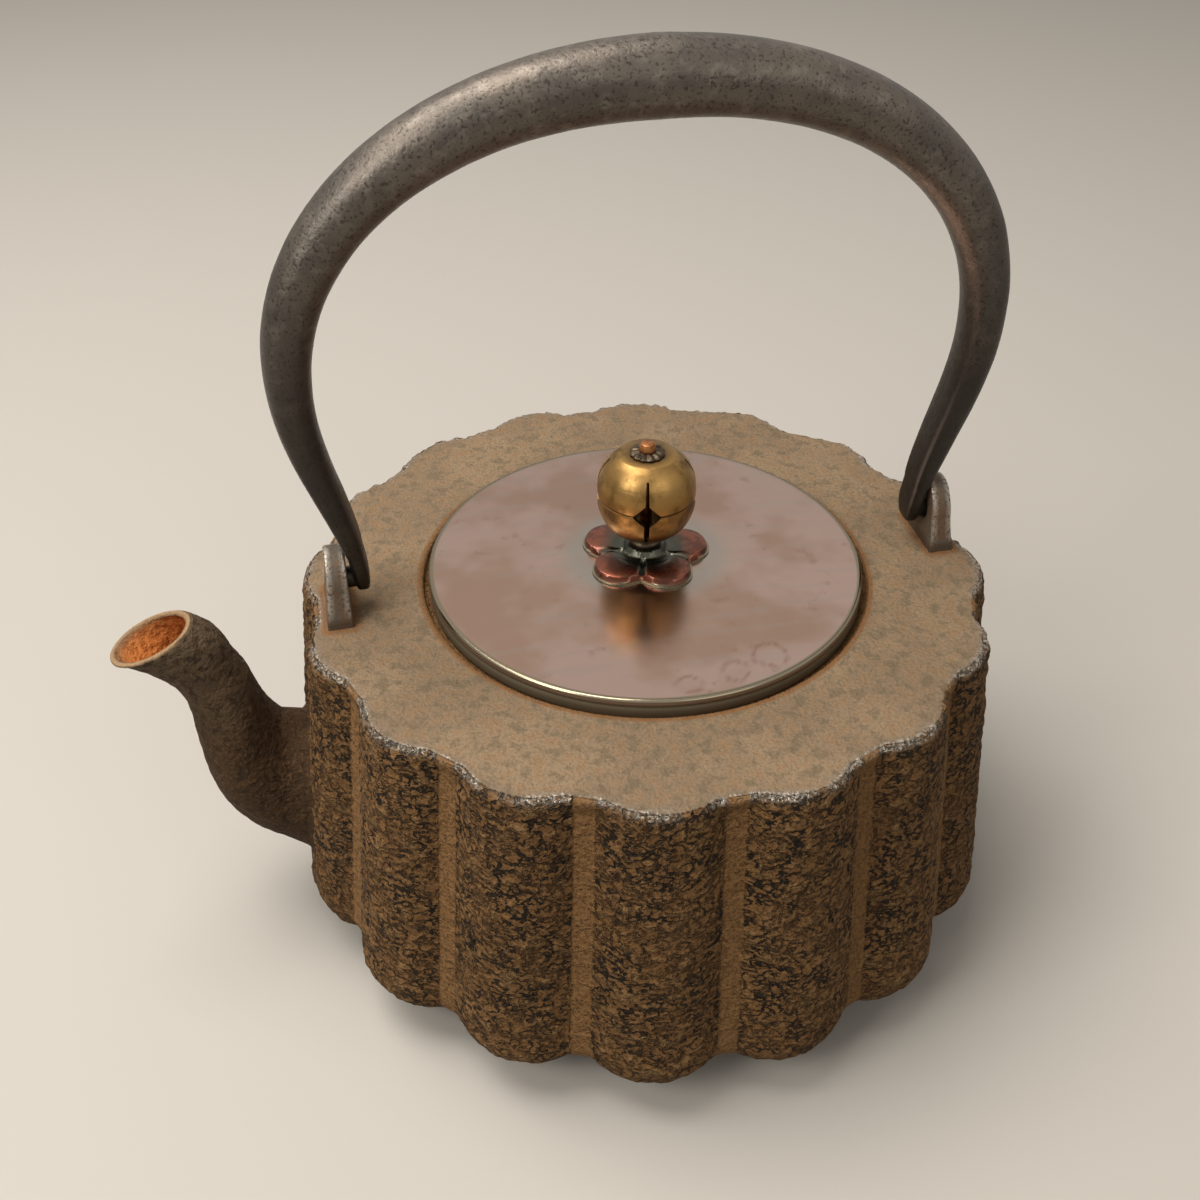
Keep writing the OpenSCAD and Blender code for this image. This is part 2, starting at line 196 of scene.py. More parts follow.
def grid_faces(rows: int, columns: int, closed: bool = False) -> np.ndarray:
    """Faces of a grid of points whose columns run round in a ring.

    Args:
        rows: Rows of points.
        columns: Points in each row.
        closed: Whether the last row also joins the first.

    Returns:
        Four point numbers for each face.
    """
    row = np.arange(rows if closed else rows - 1)[:, None]
    col = np.arange(columns)[None, :]
    after = (row + 1) % rows
    turn = (col + 1) % columns
    corners = (
        row * columns + col, row * columns + turn, after * columns + turn, after * columns + col
    )
    return np.stack([np.broadcast_to(c, (row.size, columns)).ravel() for c in corners], axis=1)


def capped(rings: np.ndarray) -> tuple[np.ndarray, list[Sequence[int]]]:
    """Points and faces of a tube through rings of points, closed at both ends.

    Args:
        rings: Array of ring, point and coordinate.

    Returns:
        The points and the faces.
    """
    count, sides = rings.shape[:2]
    faces = [tuple(f) for f in grid_faces(count, sides)]
    faces.append(tuple(range(sides))[::-1])
    faces.append(tuple(range((count - 1) * sides, count * sides)))
    return rings.reshape(-1, 3), faces


def turned(
    name: str, outline: Sequence[tuple[float, float]], sides: int = 128, fine: float = 0.0
) -> bpy.types.Object:
    """Turns a closed outline about the Z axis into a ring or, where it meets the axis, a disc.

    Args:
        name: Name of the piece.
        outline: Radius and height of each corner, clockwise seen with Z up and radius to the right.
        sides: Points round the ring.
        fine: Width of the rounding put on sharp corners.

    Returns:
        The new object.
    """
    profile = round_corners(outline, fine) if fine else list(outline)
    turn = angles(sides)
    points = np.array([hoop(turn, r, z) for r, z in profile])
    faces = grid_faces(len(profile), sides, closed=True)
    obj = make_mesh(name, points.reshape(-1, 3), faces)
    weld(obj)
    return obj


def round_corners(outline: Sequence[tuple[float, float]], size: float) -> list[tuple[float, float]]:
    """Replaces each corner off the axis by a short arc.

    Args:
        outline: Corners of a closed outline.
        size: Length taken from each side of a corner.

    Returns:
        The outline with arcs of four points.
    """
    result: list[tuple[float, float]] = []
    count = len(outline)
    for i, corner in enumerate(outline):
        here = np.array(corner, float)
        if here[0] < 0.01:
            result.append(tuple(here))
            continue
        arms = []
        for other in (outline[i - 1], outline[(i + 1) % count]):
            way = np.array(other, float) - here
            span = np.linalg.norm(way)
            arms.append(here + way / span * min(size, span * 0.45))
        for t in (0.0, 0.33, 0.67, 1.0):
            bent = (1 - t) ** 2 * arms[0] + 2 * t * (1 - t) * here + t * t * arms[1]
            result.append(tuple(bent))
    return result


def weld(obj: bpy.types.Object) -> None:
    """Joins points that all but touch and turns the faces outward.

    Args:
        obj: The piece, whose mesh is changed.
    """
    work = bmesh.new()
    work.from_mesh(obj.data)
    bmesh.ops.remove_doubles(work, verts=work.verts, dist=WELD_GAP * MM)
    bmesh.ops.recalc_face_normals(work, faces=work.faces)
    work.to_mesh(obj.data)
    work.free()


def carve(obj: bpy.types.Object, cutters: Iterable[bpy.types.Object]) -> None:
    """Takes the room of each cutter out of a piece and deletes the cutters.

    Args:
        obj: The piece.
        cutters: Closed shapes, which are used up.
    """
    for cutter in cutters:
        cut = obj.modifiers.new("cut", "BOOLEAN")
        cut.object = cutter
        cut.solver = "EXACT"
        apply_modifiers(obj)
        bpy.data.objects.remove(cutter)


def apply_modifiers(obj: bpy.types.Object) -> None:
    """Bakes a piece's modifiers into its mesh.

    Args:
        obj: The piece, which has no modifiers afterwards.
    """
    bpy.context.view_layer.update()
    seen = obj.evaluated_get(bpy.context.evaluated_depsgraph_get())
    baked = bpy.data.meshes.new_from_object(seen)
    obj.modifiers.clear()
    obj.data = baked


def join(name: str, pieces: Sequence[bpy.types.Object]) -> bpy.types.Object:
    """Makes one object of several that already share a material slot list.

    Args:
        name: Name of the whole.
        pieces: The objects; the first one takes in the others.

    Returns:
        The whole.
    """
    with bpy.context.temp_override(active_object=pieces[0], selected_editable_objects=list(pieces)):
        bpy.ops.object.join()
    pieces[0].name = name
    return pieces[0]


# ---------------------------------------------------------------- materials


class Kind(Enum):
    """Kinds of shader node: type, inputs in the order they are given, output and settings."""

    LAYER = ("Attribute", (), 2, {})
    PLACE = ("TexCoord", (), "Object", {})
    DIRECTION = ("TexCoord", (), "Generated", {})
    UP = ("SeparateXYZ", (0,), "Z", {})
    CAMERA_RAY = ("LightPath", (), "Is Camera Ray", {})
    GLOSSY_RAY = ("LightPath", (), "Is Glossy Ray", {})
    TRANSMISSION_RAY = ("LightPath", (), "Is Transmission Ray", {})
    SCALED = ("Mapping", ("Vector", "Scale", "Location"), 0, {})
    NOISE = ("TexNoise", ("Vector", "Scale", "Detail", "Roughness"), 0, {})
    GRADE = ("MapRange", ("Value", "From Min", "From Max", "To Min", "To Max"), 0, {})
    WINDOW = (*GRADE[:3], {"interpolation_type": "SMOOTHSTEP"})
    COAT = ("Mix", (0, 6, 7), 2, {"data_type": "RGBA"})
    BUMP = ("Bump", ("Height", "Distance", "Normal"), 0, {})
    PLUS = ("Math", (0, 1), 0, {"operation": "ADD", "use_clamp": True})
    MINUS = ("Math", (0, 1), 0, {"operation": "SUBTRACT", "use_clamp": True})
    TIMES = ("Math", (0, 1), 0, {"operation": "MULTIPLY", "use_clamp": True})
    LARGER = ("Math", (0, 1), 0, {"operation": "MAXIMUM", "use_clamp": True})
    UNSIGNED = ("Math", (0,), 0, {"operation": "ABSOLUTE", "use_clamp": True})


class NodeTree:
    """A tree of shader nodes, of a material or of the world."""

    def __init__(self, tree: bpy.types.NodeTree) -> None:
        """Takes up a tree."""
        self.tree = tree

    def add(self, kind: Kind, *values: object, **settings: object) -> Socket:
        """Adds a node.

        Args:
            kind: What the node does.
            *values: Values or sockets for its inputs, in the kind's order; others keep theirs.
            **settings: Properties of the node, over the kind's own.

        Returns:
            The kind's output.
        """
        short, inputs, output, usual = kind.value
        node = self.tree.nodes.new("ShaderNode" + short)
        for key, value in {**usual, **settings}.items():
            setattr(node, key, value)
        for key, value in zip(inputs, values):
            self.feed(node.inputs[key], value)
        return node.outputs[output]

    def feed(self, socket: Socket, value: object) -> None:
        """Links an output to a socket, or sets the socket's own value.

        Args:
            socket: The input.
            value: A socket, a hex colour or a plain value.
        """
        if isinstance(value, Socket):
            self.tree.links.new(value, socket)
        elif isinstance(value, str):
            socket.default_value = linear(value)
        else:
            socket.default_value = value

    def seen(self) -> Socket:
        """1 on rays from the camera, off gloss or through glass, and 0 on all other light."""
        first = self.add(Kind.LARGER, self.add(Kind.CAMERA_RAY), self.add(Kind.GLOSSY_RAY))
        return self.add(Kind.LARGER, first, self.add(Kind.TRANSMISSION_RAY))


class Surface(NodeTree):
    """The node tree of one material, wired up to its Principled shader."""

    def __init__(self, name: str) -> None:
        """Starts an empty material.

        Args:
            name: The material's name.
        """
        self.material = bpy.data.materials.new(name)
        self.material.use_nodes = True
        super().__init__(self.material.node_tree)
        self.shader = self.tree.nodes["Principled BSDF"]

    def texture(
        self,
        size: float | Sequence[float],
        detail: float = 3.0,
        rough: float = 0.55,
        shift: float = 0.0,
    ) -> Socket:
        """Noise whose lumps have a real size.

        Args:
            size: Width of a lump in millimetres, alike all ways or along x, y and z.
            detail: Layers of finer noise.
            rough: Strength of the finer layers.
            shift: Moves the pattern, so that two of the same size differ.

        Returns:
            Values about 0.5, mostly from 0.3 to 0.7.
        """
        widths = (size,) * 3 if isinstance(size, (int, float)) else tuple(size)
        scale = [1 / (w * MM) for w in widths]
        place = self.add(Kind.SCALED, self.add(Kind.PLACE), scale, (shift, shift * 0.7, -shift))
        return self.add(Kind.NOISE, place, 1.0, detail, rough)

    def coats(self, base: object, layers: Sequence[tuple[object, object]]) -> Socket:
        """Lays colours over a base, each where its mask says.

        Args:
            base: Hex colour or socket that lies under all.
            layers: Mask and colour of each coat, from the lowest up.

        Returns:
            The finished colour.
        """
        for mask, colour in layers:
            base = self.add(Kind.COAT, mask, base, colour)
        return base

    def finish(self, **values: object) -> bpy.types.Material:
        """Sets the shader's sockets and gives the material.

        Args:
            **values: Values or sockets, by input name with spaces written as underscores.

        Returns:
            The material.
        """
        for key, value in values.items():
            self.feed(self.shader.inputs[key.replace("_", " ")], value)
        return self.material


@dataclass(frozen=True)
class RustedCastIron:
    """Sand-cast iron, unglazed, with a dry skin of brown rust over dark iron.

    The eye sees a matt, leathery skin with burnt clusters on the lobes, smooth orange rust in
    the grooves and at the foot, softly mottled tan rust on the flat roof, and silvery worn
    patches round the rim. Shade is painted into the creases and hollows of the wall's relief,
    where the burnt clusters are kept, and highlights are painted onto its ridges.
    """

    name: str
    rust: str = "#7a5835"
    # Deep rust: random dark specks, and painted shade in the creases of the wall's relief.
    deep_rust_and_shade: str = "#432f1b"
    pale_rust_and_highlight: str = "#a18056"
    # Pale rust: random flecks, and painted highlights on the ridges of the wall's relief.
    groove_rust: str = "#987249"
    # Iron and soot colour the burnt clusters, which are laid only into the relief's hollows and so
    # also paint shade there.
    iron: str = "#302619"
    soot: str = "#1b150e"
    seam_rust: str = "#86592f"
    roof_tan: str = "#8d7860"
    roof_light: str = "#a1896d"
    roof_orange: str = "#957554"
    roof_grey: str = "#75654f"
    worn: str = "#a89f93"
    dusty: str = "#7d7265"

    def material(self) -> bpy.types.Material:
        """Wires the finish.

        Returns:
            The material.
        """
        s = Surface(self.name)
        groove, roof, wear, low, painted_relief_shading = (
            s.add(Kind.LAYER, attribute_name=n) for n in ("groove", "roof", "wear", "low", "painted_relief_shading")
        )
        leather = s.texture((2.7, 2.7, 1.9), 3.0, 0.55)
        grain = s.texture(0.75, 3.0, 0.6, 7.0)
        cluster = s.texture((6.5, 6.5, 10.0), 4.0, 0.6, 3.0)
        mottle = s.texture(3.4, 4.0, 0.62, 11.0)
        wide = s.texture(22.0, 3.0, 0.55, 17.0)
        lump = s.add(
            Kind.WINDOW,
            s.add(Kind.UNSIGNED, s.add(Kind.MINUS, leather, 0.5, use_clamp=False)),
            0.0,
            0.085,
        )
        strip = s.add(
            Kind.PLUS, groove, s.add(Kind.WINDOW, leather, 0.35, 0.65, -0.4, 0.4), use_clamp=False
        )
        strip = s.add(Kind.WINDOW, strip, 0.35, 0.85)
        open_wall = s.add(Kind.WINDOW, strip, 0.0, 1.0, 1.0, 0.0)
        burnt_share = s.add(
            Kind.MINUS,
            s.add(Kind.WINDOW, cluster, 0.42, 0.58),
            s.add(Kind.WINDOW, low, 0.0, 1.0, 0.0, 0.35),
        )
        burnt_share = s.add(Kind.TIMES, burnt_share, open_wall)
        # Hollow: the creases and low parts of the wall's relief, used to paint shade.
        hollow = s.add(
            Kind.TIMES, s.add(Kind.WINDOW, lump, 1.0, 0.35), s.add(Kind.WINDOW, painted_relief_shading, 0.80, 0.35)
        )
        burnt = s.add(Kind.TIMES, burnt_share, s.add(Kind.WINDOW, hollow, 0.1, 0.6))
        wall = s.coats(
            self.rust,
            [
                (s.add(Kind.WINDOW, wide, 0.42, 0.6, 0.0, 0.35), self.groove_rust),
                # Painted shade in the creases of the wall's relief.
                (s.add(Kind.WINDOW, lump, 0.85, 0.0, 0.0, 0.75), self.deep_rust_and_shade),
                # Painted highlight on the ridges of the wall's relief.
                (s.add(Kind.WINDOW, painted_relief_shading, 0.55, 0.9, 0.0, 0.55), self.pale_rust_and_highlight),
                (s.add(Kind.WINDOW, grain, 0.54, 0.66, 0.0, 0.5), self.pale_rust_and_highlight),
                (s.add(Kind.TIMES, strip, 0.75), self.groove_rust),
                (s.add(Kind.WINDOW, grain, 0.48, 0.37, 0.0, 0.65), self.deep_rust_and_shade),
                # Painted shade in the creases inside the groove strips.
                (s.add(Kind.TIMES, strip, s.add(Kind.WINDOW, lump, 0.6, 0.0, 0.0, 0.6)), self.rust),
                # Burnt clusters in the hollows: dark mottling, and painted shade.
                (s.add(Kind.TIMES, burnt, 0.9), self.iron),
                (s.add(Kind.TIMES, burnt, s.add(Kind.WINDOW, grain, 0.56, 0.44)), self.soot),
            ],
        )
        top = s.coats(
            self.roof_tan,
            [
                (s.add(Kind.WINDOW, wide, 0.44, 0.60, 0.0, 0.6), self.roof_light),
                (s.add(Kind.WINDOW, mottle, 0.48, 0.64, 0.0, 0.6), self.roof_orange),
                (s.add(Kind.WINDOW, mottle, 0.52, 0.36, 0.0, 0.75), self.roof_grey),
                (s.add(Kind.WINDOW, grain, 0.50, 0.36, 0.0, 0.45), self.roof_grey),
                (s.add(Kind.WINDOW, grain, 0.54, 0.68, 0.0, 0.35), self.roof_light),
                # Seam rust along the roof's notches, the recess edge and round the lug feet, where
                # it is partly painted shade.
                (
                    s.add(
                        Kind.TIMES,
                        s.add(Kind.WINDOW, groove, 0.2, 0.9),
                        s.add(Kind.WINDOW, grain, 0.3, 0.6, 0.3, 0.9),
                    ),
                    self.seam_rust,
                ),
            ],
        )
        ragged = s.add(
            Kind.PLUS, roof, s.add(Kind.WINDOW, grain, 0.3, 0.7, -0.35, 0.35), use_clamp=False
        )
        rubbed = s.add(
            Kind.TIMES, s.add(Kind.WINDOW, wear, 0.35, 0.9), s.add(Kind.WINDOW, grain, 0.47, 0.57)
        )
        silver = s.add(Kind.TIMES, wear, s.add(Kind.WINDOW, mottle, 0.36, 0.52, 0.1, 0.7))
        colour = s.coats(
            wall,
            [
                (s.add(Kind.WINDOW, ragged, 0.35, 0.65), top),
                (silver, self.dusty),
                (rubbed, self.worn),
            ],
        )
        flat_top = s.add(Kind.WINDOW, roof, 0.0, 0.6, 1.0, 0.3)
        creased = s.add(Kind.TIMES, lump, s.add(Kind.WINDOW, roof, 0.0, 0.6, 0.4, 0.0))
        creased = s.add(Kind.TIMES, creased, s.add(Kind.WINDOW, groove, 0.2, 0.9, 1.0, 0.2))
        leathery = s.add(
            Kind.BUMP, s.add(Kind.PLUS, creased, s.add(Kind.TIMES, leather, flat_top)), 1.5 * MM
        )
        fine = s.add(Kind.BUMP, grain, 0.5 * MM, leathery)
        return s.finish(
            Base_Color=colour,
            Metallic=s.add(Kind.WINDOW, rubbed, 0.2, 0.9, 0.0, 0.85),
            Roughness=s.add(Kind.WINDOW, rubbed, 0.1, 0.9, 0.84, 0.34),
            Specular_IOR_Level=s.add(Kind.WINDOW, rubbed, 0.1, 0.9, 0.2, 0.5),
            Normal=fine,
        )


@dataclass(frozen=True)
class ForgedBailIron:
    """Rolled sheet iron, forged into a hollow bail, burnt dark and rubbed by hands.

    The eye sees a dark satin metal with broad warm-grey shine, faint bruises and tiny pits.
    The lower legs and hooks carry painted dark reflection in the burnt colour, and thin
    painted highlights run along the blades' corners in the rubbed colour.
    """

    name: str
    dark: str = "#5f5851"
    brown: str = "#6b6259"
    # Rubbed: random rubbed patches, and painted highlight lines along the blade corners.
    rubbed: str = "#8a8177"
    # Burnt: pits, and painted dark reflection on the lower legs and hooks.
    burnt: str = "#29241f"

    def material(self) -> bpy.types.Material:
        """Wires the finish.

        Returns:
            The material.
        """
        s = Surface(self.name)
        cloud = s.texture(14.0, 3.0, 0.6)
        pits = s.texture(0.7, 3.0, 0.6, 5.0)
        bruise = s.texture(3.2, 3.0, 0.55, 9.0)
        colour = s.coats(
            self.dark,
            [
                (s.add(Kind.WINDOW, cloud, 0.4, 0.62), self.brown),
                (s.add(Kind.WINDOW, bruise, 0.50, 0.70, 0.0, 0.4), self.rubbed),
                (s.add(Kind.WINDOW, pits, 0.46, 0.36, 0.0, 0.6), self.burnt),
                # Painted dark reflection on the lower legs and the hooks.
                (
                    s.add(
                        Kind.WINDOW, s.add(Kind.LAYER, attribute_name="end"), 0.0, 1.0, 0.0, 0.85
                    ),
                    self.burnt,
                ),
                # Painted highlight lines along the corners of the flattened blades.
                (
                    s.add(
                        Kind.WINDOW,
                        s.add(Kind.LAYER, attribute_name="corner"),
                        0.35,
                        0.95,
                        0.0,
                        0.3,
                    ),
                    self.rubbed,
                ),
            ],
        )
        bump = s.add(Kind.BUMP, pits, 0.10 * MM, s.add(Kind.BUMP, bruise, 0.16 * MM))
        return s.finish(
            Base_Color=colour,
            Metallic=0.75,
            Roughness=s.add(Kind.WINDOW, pits, 0.35, 0.7, 0.36, 0.50),
            Normal=bump,
        )


@dataclass(frozen=True)
class AgedMetal:
    """Cast or pressed copper alloy with a dull patina in its hollows.

    The eye sees a warm metal that is clean on what stands out and dark where fingers miss.
    """

    name: str
    bright: str
    dull: str
    roughness: float = 0.28
    patch: float = 4.0
    line: float = 0.35
    line_depth: float = 0.02

    def material(self) -> bpy.types.Material:
        """Wires the finish.

        Returns:
            The material.
        """
        s = Surface(self.name)
        cloud = s.texture(self.patch, 4.0, 0.6)
        lines = s.texture((12.0, 12.0, self.line), 2.0, 0.5, 6.0)
        colour = s.coats(
            self.bright,
            [
                (s.add(Kind.WINDOW, cloud, 0.42, 0.68, 0.0, 0.8), self.dull),
                (s.add(Kind.LAYER, attribute_name="hollow"), self.dull),
            ],
        )
        return s.finish(
            Base_Color=colour,
            Metallic=1.0,
            Roughness=s.add(Kind.WINDOW, cloud, 0.3, 0.7, self.roughness, self.roughness + 0.14),
            Normal=s.add(Kind.BUMP, lines, self.line_depth * MM),
        )


@dataclass(frozen=True)
class PlumCopper:
    """Pressed copper flower washer: red on the petals, green at the rim and grey in the middle."""

    name: str
    red: str = "#8a5544"
    brown: str = "#64443a"
    grey: str = "#54544a"
    green: str = "#9a9a84"

    def material(self) -> bpy.types.Material:
        """Wires the finish.

        Returns:
            The material.
        """
        s = Surface(self.name)
        cloud = s.texture(3.0, 3.0, 0.6)
        colour = s.coats(
            self.red,
            [
                (s.add(Kind.WINDOW, cloud, 0.42, 0.6, 0.0, 0.8), self.brown),
                (s.add(Kind.LAYER, attribute_name="hollow"), self.grey),
                (s.add(Kind.LAYER, attribute_name="edge"), self.green),
            ],
        )
        return s.finish(
            Base_Color=colour,
            Metallic=0.95,
            Roughness=s.add(Kind.WINDOW, cloud, 0.3, 0.7, 0.22, 0.4),
        )


@dataclass(frozen=True)
class StudioPaper:
    """Matt pale backdrop paper, which throws back less light on the kettle than it shows."""

    name: str
    tone: str = "#cdc7be"
    bounce: str = "#8b867f"

    def material(self) -> bpy.types.Material:
        """Wires the finish."""
        s = Surface(self.name)
        return s.finish(Base_Color=s.coats(self.bounce, [(s.seen(), self.tone)]), Roughness=0.95)


def dress(obj: bpy.types.Object, material: bpy.types.Material) -> None:
    """Gives a piece its only material."""
    obj.data.materials.clear()
    obj.data.materials.append(material)


class Body(Enum):
    """The rigid bodies that pieces ride on."""

    KETTLE = "kettle"
    BAIL = "bail"
    LID = "lid"
    KNOB = "knob"


def stand_in(obj: bpy.types.Object, body: Body, nodes: Sequence[str]) -> None:
    """Puts a dressed piece in the place of plain solids.

    Args:
        obj: The piece.
        body: The body that it moves with.
        nodes: Solids that it replaces.
    """
    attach(obj, body.value)
    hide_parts(*nodes)
    LOG.info("%s: %d points, rides on %s", obj.name, len(obj.data.vertices), body.value)


# ---------------------------------------------------------------- the kettle


@dataclass
class KettleBody:
    """The cast vessel: sixteen lobes, a flat roof, a recess for the lid and a round base."""

    height: float = 88.0
    foot_r: float = 89.5
    rim_r: float = 79.8
    groove: float = 4.6
    lobes: int = 16
    lobe_foot_r: float = 23.5
    lobe_rim_r: float = 20.5
    strip: float = 4.4
    rim_groove: float = 3.1
    lug_foot: tuple[float, float, float] = (70.6, 2.6, 8.2)
    lower_round: float = 12.0
    rim_in: float = 2.1
    rim_down: float = 2.9
    wall: float = 3.0
    roof: float = 3.5
    base_r: float = 62.0
    base_h: float = 5.5
    recess_r: float = 51.3
    recess: float = 2.0
    mouth_r: float = 44.0
    ledge: float = 4.0
    columns: int = 960
    step: float = 0.6
    inset: float = 0.3
    passage_z: float = 38.5
    passage_r: float = 11.4
    noise: SolidNoise = field(default_factory=lambda: SolidNoise(5))

    @property
    def flare(self) -> float:
        """Growth of the wall's radius for each millimetre down."""
        return (self.foot_r - self.rim_r) / self.height

    def depth(self, turn: np.ndarray, z: np.ndarray) -> np.ndarray:
        """How far the surface lies inside the lobes' crests, in millimetres.

        Args:
            turn: Angles about Z in radians.
            z: Heights.

        Returns:
            From 0 on a crest to the groove depth.
        """
        crest = self.foot_r - self.flare * z - self.inset
        lobe = self.lobe_foot_r + (self.lobe_rim_r - self.lobe_foot_r) * z / self.height
        pitch = 2 * math.pi / self.lobes
        off = np.mod(turn, pitch) - pitch / 2
        narrowed = off * (pitch / 2) / (pitch / 2 - self.strip / 2 / crest)
        far = crest - lobe
        bulge = far * np.cos(narrowed) + np.sqrt(
            np.maximum(lobe**2 - (far * np.sin(narrowed)) ** 2, 0.0)
        )
        shallow = (self.groove - self.rim_groove) * smooth(self.height - 4.0, self.height - 0.5, z)
        return crest - soft_max(bulge, crest - self.groove + shallow, 0.5)

    def groove_mask(self, turn: np.ndarray, z: np.ndarray) -> np.ndarray:
        """Where the grooves are.

        Args:
            turn: Angles about Z in radians.
            z: Heights.

        Returns:
            1 along the floor of a groove and 0 on a lobe.
        """
        pitch = 2 * math.pi / self.lobes
        off = np.abs(np.mod(turn + pitch / 2, pitch) - pitch / 2) * (self.foot_r - self.flare * z)
        return smooth(self.strip / 2 + 0.9, self.strip / 2 - 0.4, off)

    def section(self) -> list[tuple[float, float, float, float, float, float]]:
        """The outer skin's section along a crest.

        Returns:
            Radius, height, the outward normal's two parts, share of the grooves, and roof share.
        """
        rows: list[tuple[float, float, float, float, float, float]] = []
        lean = math.atan(self.flare)
        top = self.height
        edge = self.rim_r - self.inset - self.rim_in + self.flare * self.rim_down
        inner = self.recess_r + 0.7
        for i in range(int((edge - inner) / self.step) + 1):
            share = i / int((edge - inner) / self.step)
            rows.append((inner + (edge - inner) * share, top, 0.0, 1.0, share**6, 1.0))
        for i in range(1, 9):
            a = math.radians(90 - 10 * i)
            rows.append(
                (edge + self.rim_in * math.cos(a), top - self.rim_down * (1 - math.sin(a)),
                 math.cos(a), math.sin(a), 1.0, float(smooth(0.90, 1.0, math.sin(a))))
            )
        z_high = top - self.rim_down
        z_low = self.base_h + self.lower_round * (1 + math.sin(lean))
        count = int((z_high - z_low) / self.step)
        for i in range(count + 1):
            z = z_high + (z_low - z_high) * i / count
            rows.append(
                (
                    self.foot_r - self.inset - self.flare * z,
                    z,
                    math.cos(lean),
                    math.sin(lean),
                    1.0,
                    0.0,
                )
            )
        centre_r = self.foot_r - self.inset - self.flare * z_low - self.lower_round * math.cos(lean)
        centre_z = self.base_h + self.lower_round
        for i in range(1, 23):
            a = lean - (lean + math.pi / 2) * i / 22
            rows.append(
                (
                    centre_r + self.lower_round * math.cos(a),
                    centre_z + self.lower_round * math.sin(a),
                    math.cos(a),
                    math.sin(a),
                    1.0,
                    0.0,
                )
            )
        for i in range(1, 9):
            share = i / 8
            rows.append(
                (
                    centre_r + (self.base_r - centre_r) * share,
                    self.base_h,
                    0.0,
                    -1.0,
                    1 - smooth(0, 1, share),
                    0.0,
                )
            )
        return rows

    def skin(self) -> tuple[np.ndarray, dict[str, np.ndarray]]:
        """The outer surface from the recess out, down and under to the base.

        Returns:
            Points by row and column, and the layers for the finish.
        """
        rows = np.array(self.section())
        turn = angles(self.columns)
        r, z, nr, nz, share, flat = (rows[:, i][:, None] for i in range(6))
        angle = np.broadcast_to(turn[None, :], (len(rows), self.columns))
        level = np.broadcast_to(z, angle.shape)
        sink = self.depth(angle, level) * share
        on_roof = nz > 0.2
        across = np.where(on_roof, 1.0, nr)
        along = np.where(on_roof, 0.0, nz)
        radius = np.broadcast_to(r, angle.shape) - sink * across
        height = level - sink * along
        groove = self.groove_mask(angle, level) * np.where(flat > 0.5, 0.0, 1.0)
        points = np.stack([radius * np.cos(angle), radius * np.sin(angle), height], axis=2)
        flat_points = points.reshape(-1, 3)
        coarse = self.noise.layers(flat_points, (7.5, 7.5, 6.0), 2).reshape(angle.shape)
        wrinkle = self.noise.layers(flat_points + 90.0, (3.4, 3.4, 2.3), 2).reshape(angle.shape)
        pimple = self.noise.layers(flat_points + 300.0, (2.0, 2.0, 1.6), 2).reshape(angle.shape)
        plain = 1 - 0.65 * groove
        skin_rough = (0.26 * coarse + 0.50 * wrinkle + 0.28 * pimple) * plain
        rough = np.where(flat > 0.5, 0.12 * coarse + 0.15 * pimple, skin_rough)
        # Height of the wrinkled relief, kept for painting highlights on its ridges and shade in its
        # hollows.
        painted_relief_shading = np.clip(0.5 + 0.55 * wrinkle + 0.35 * pimple, 0, 1)
        edge = np.where(nr > 0.1, np.exp(-(((level - (self.height - 0.5)) / 1.1) ** 2)),
                        0.55 * smooth(self.rim_r - 4.2, self.rim_r - 2.4, radius + sink))
        rough = rough + edge * (0.25 * coarse + 0.25 * pimple)
        calm = smooth(0.0, 3.0, np.hypot(radius - self.recess_r, (level - self.height) * 2))
        calm = calm * np.where(share < 1, np.maximum(flat, share), 1.0)
        rough = np.minimum(rough, 0.55) * calm - 0.15 * calm
        points[..., 0] += rough * across * np.cos(angle)
        points[..., 1] += rough * across * np.sin(angle)
        points[..., 2] += rough * np.where(on_roof, nz, along)
        patchy = self.noise.layers(flat_points + 500.0, (9.0, 9.0, 9.0), 2).reshape(angle.shape)
        wear = edge * smooth(-0.7, 0.2, patchy) * (1 - 0.7 * groove)
        line = np.exp(-(((radius - self.recess_r - 0.8) / 0.9) ** 2)) * np.where(
            flat > 0.9, 1.0, 0.0
        )
        # Band round each lug's foot on the roof: rust, and partly painted shade where the lug meets
        # the roof.
        foot_x, foot_half, foot_w = self.lug_foot
        beside = np.hypot(np.maximum(np.abs(np.abs(points[..., 0]) - foot_x) - foot_half, 0),
                          np.maximum(np.abs(points[..., 1]) - foot_w, 0))
        line = np.maximum(line, np.exp(-((beside / 2.2) ** 2)) * np.where(flat > 0.9, 0.9, 0.0))
        low = smooth(45.0, 8.0, level)
        layers = {"groove": np.maximum(groove, line), "roof": np.broadcast_to(flat, angle.shape),
                  "wear": np.clip(wear, 0, 1), "low": low, "painted_relief_shading": painted_relief_shading}
        return points, {k: np.ascontiguousarray(v) for k, v in layers.items()}

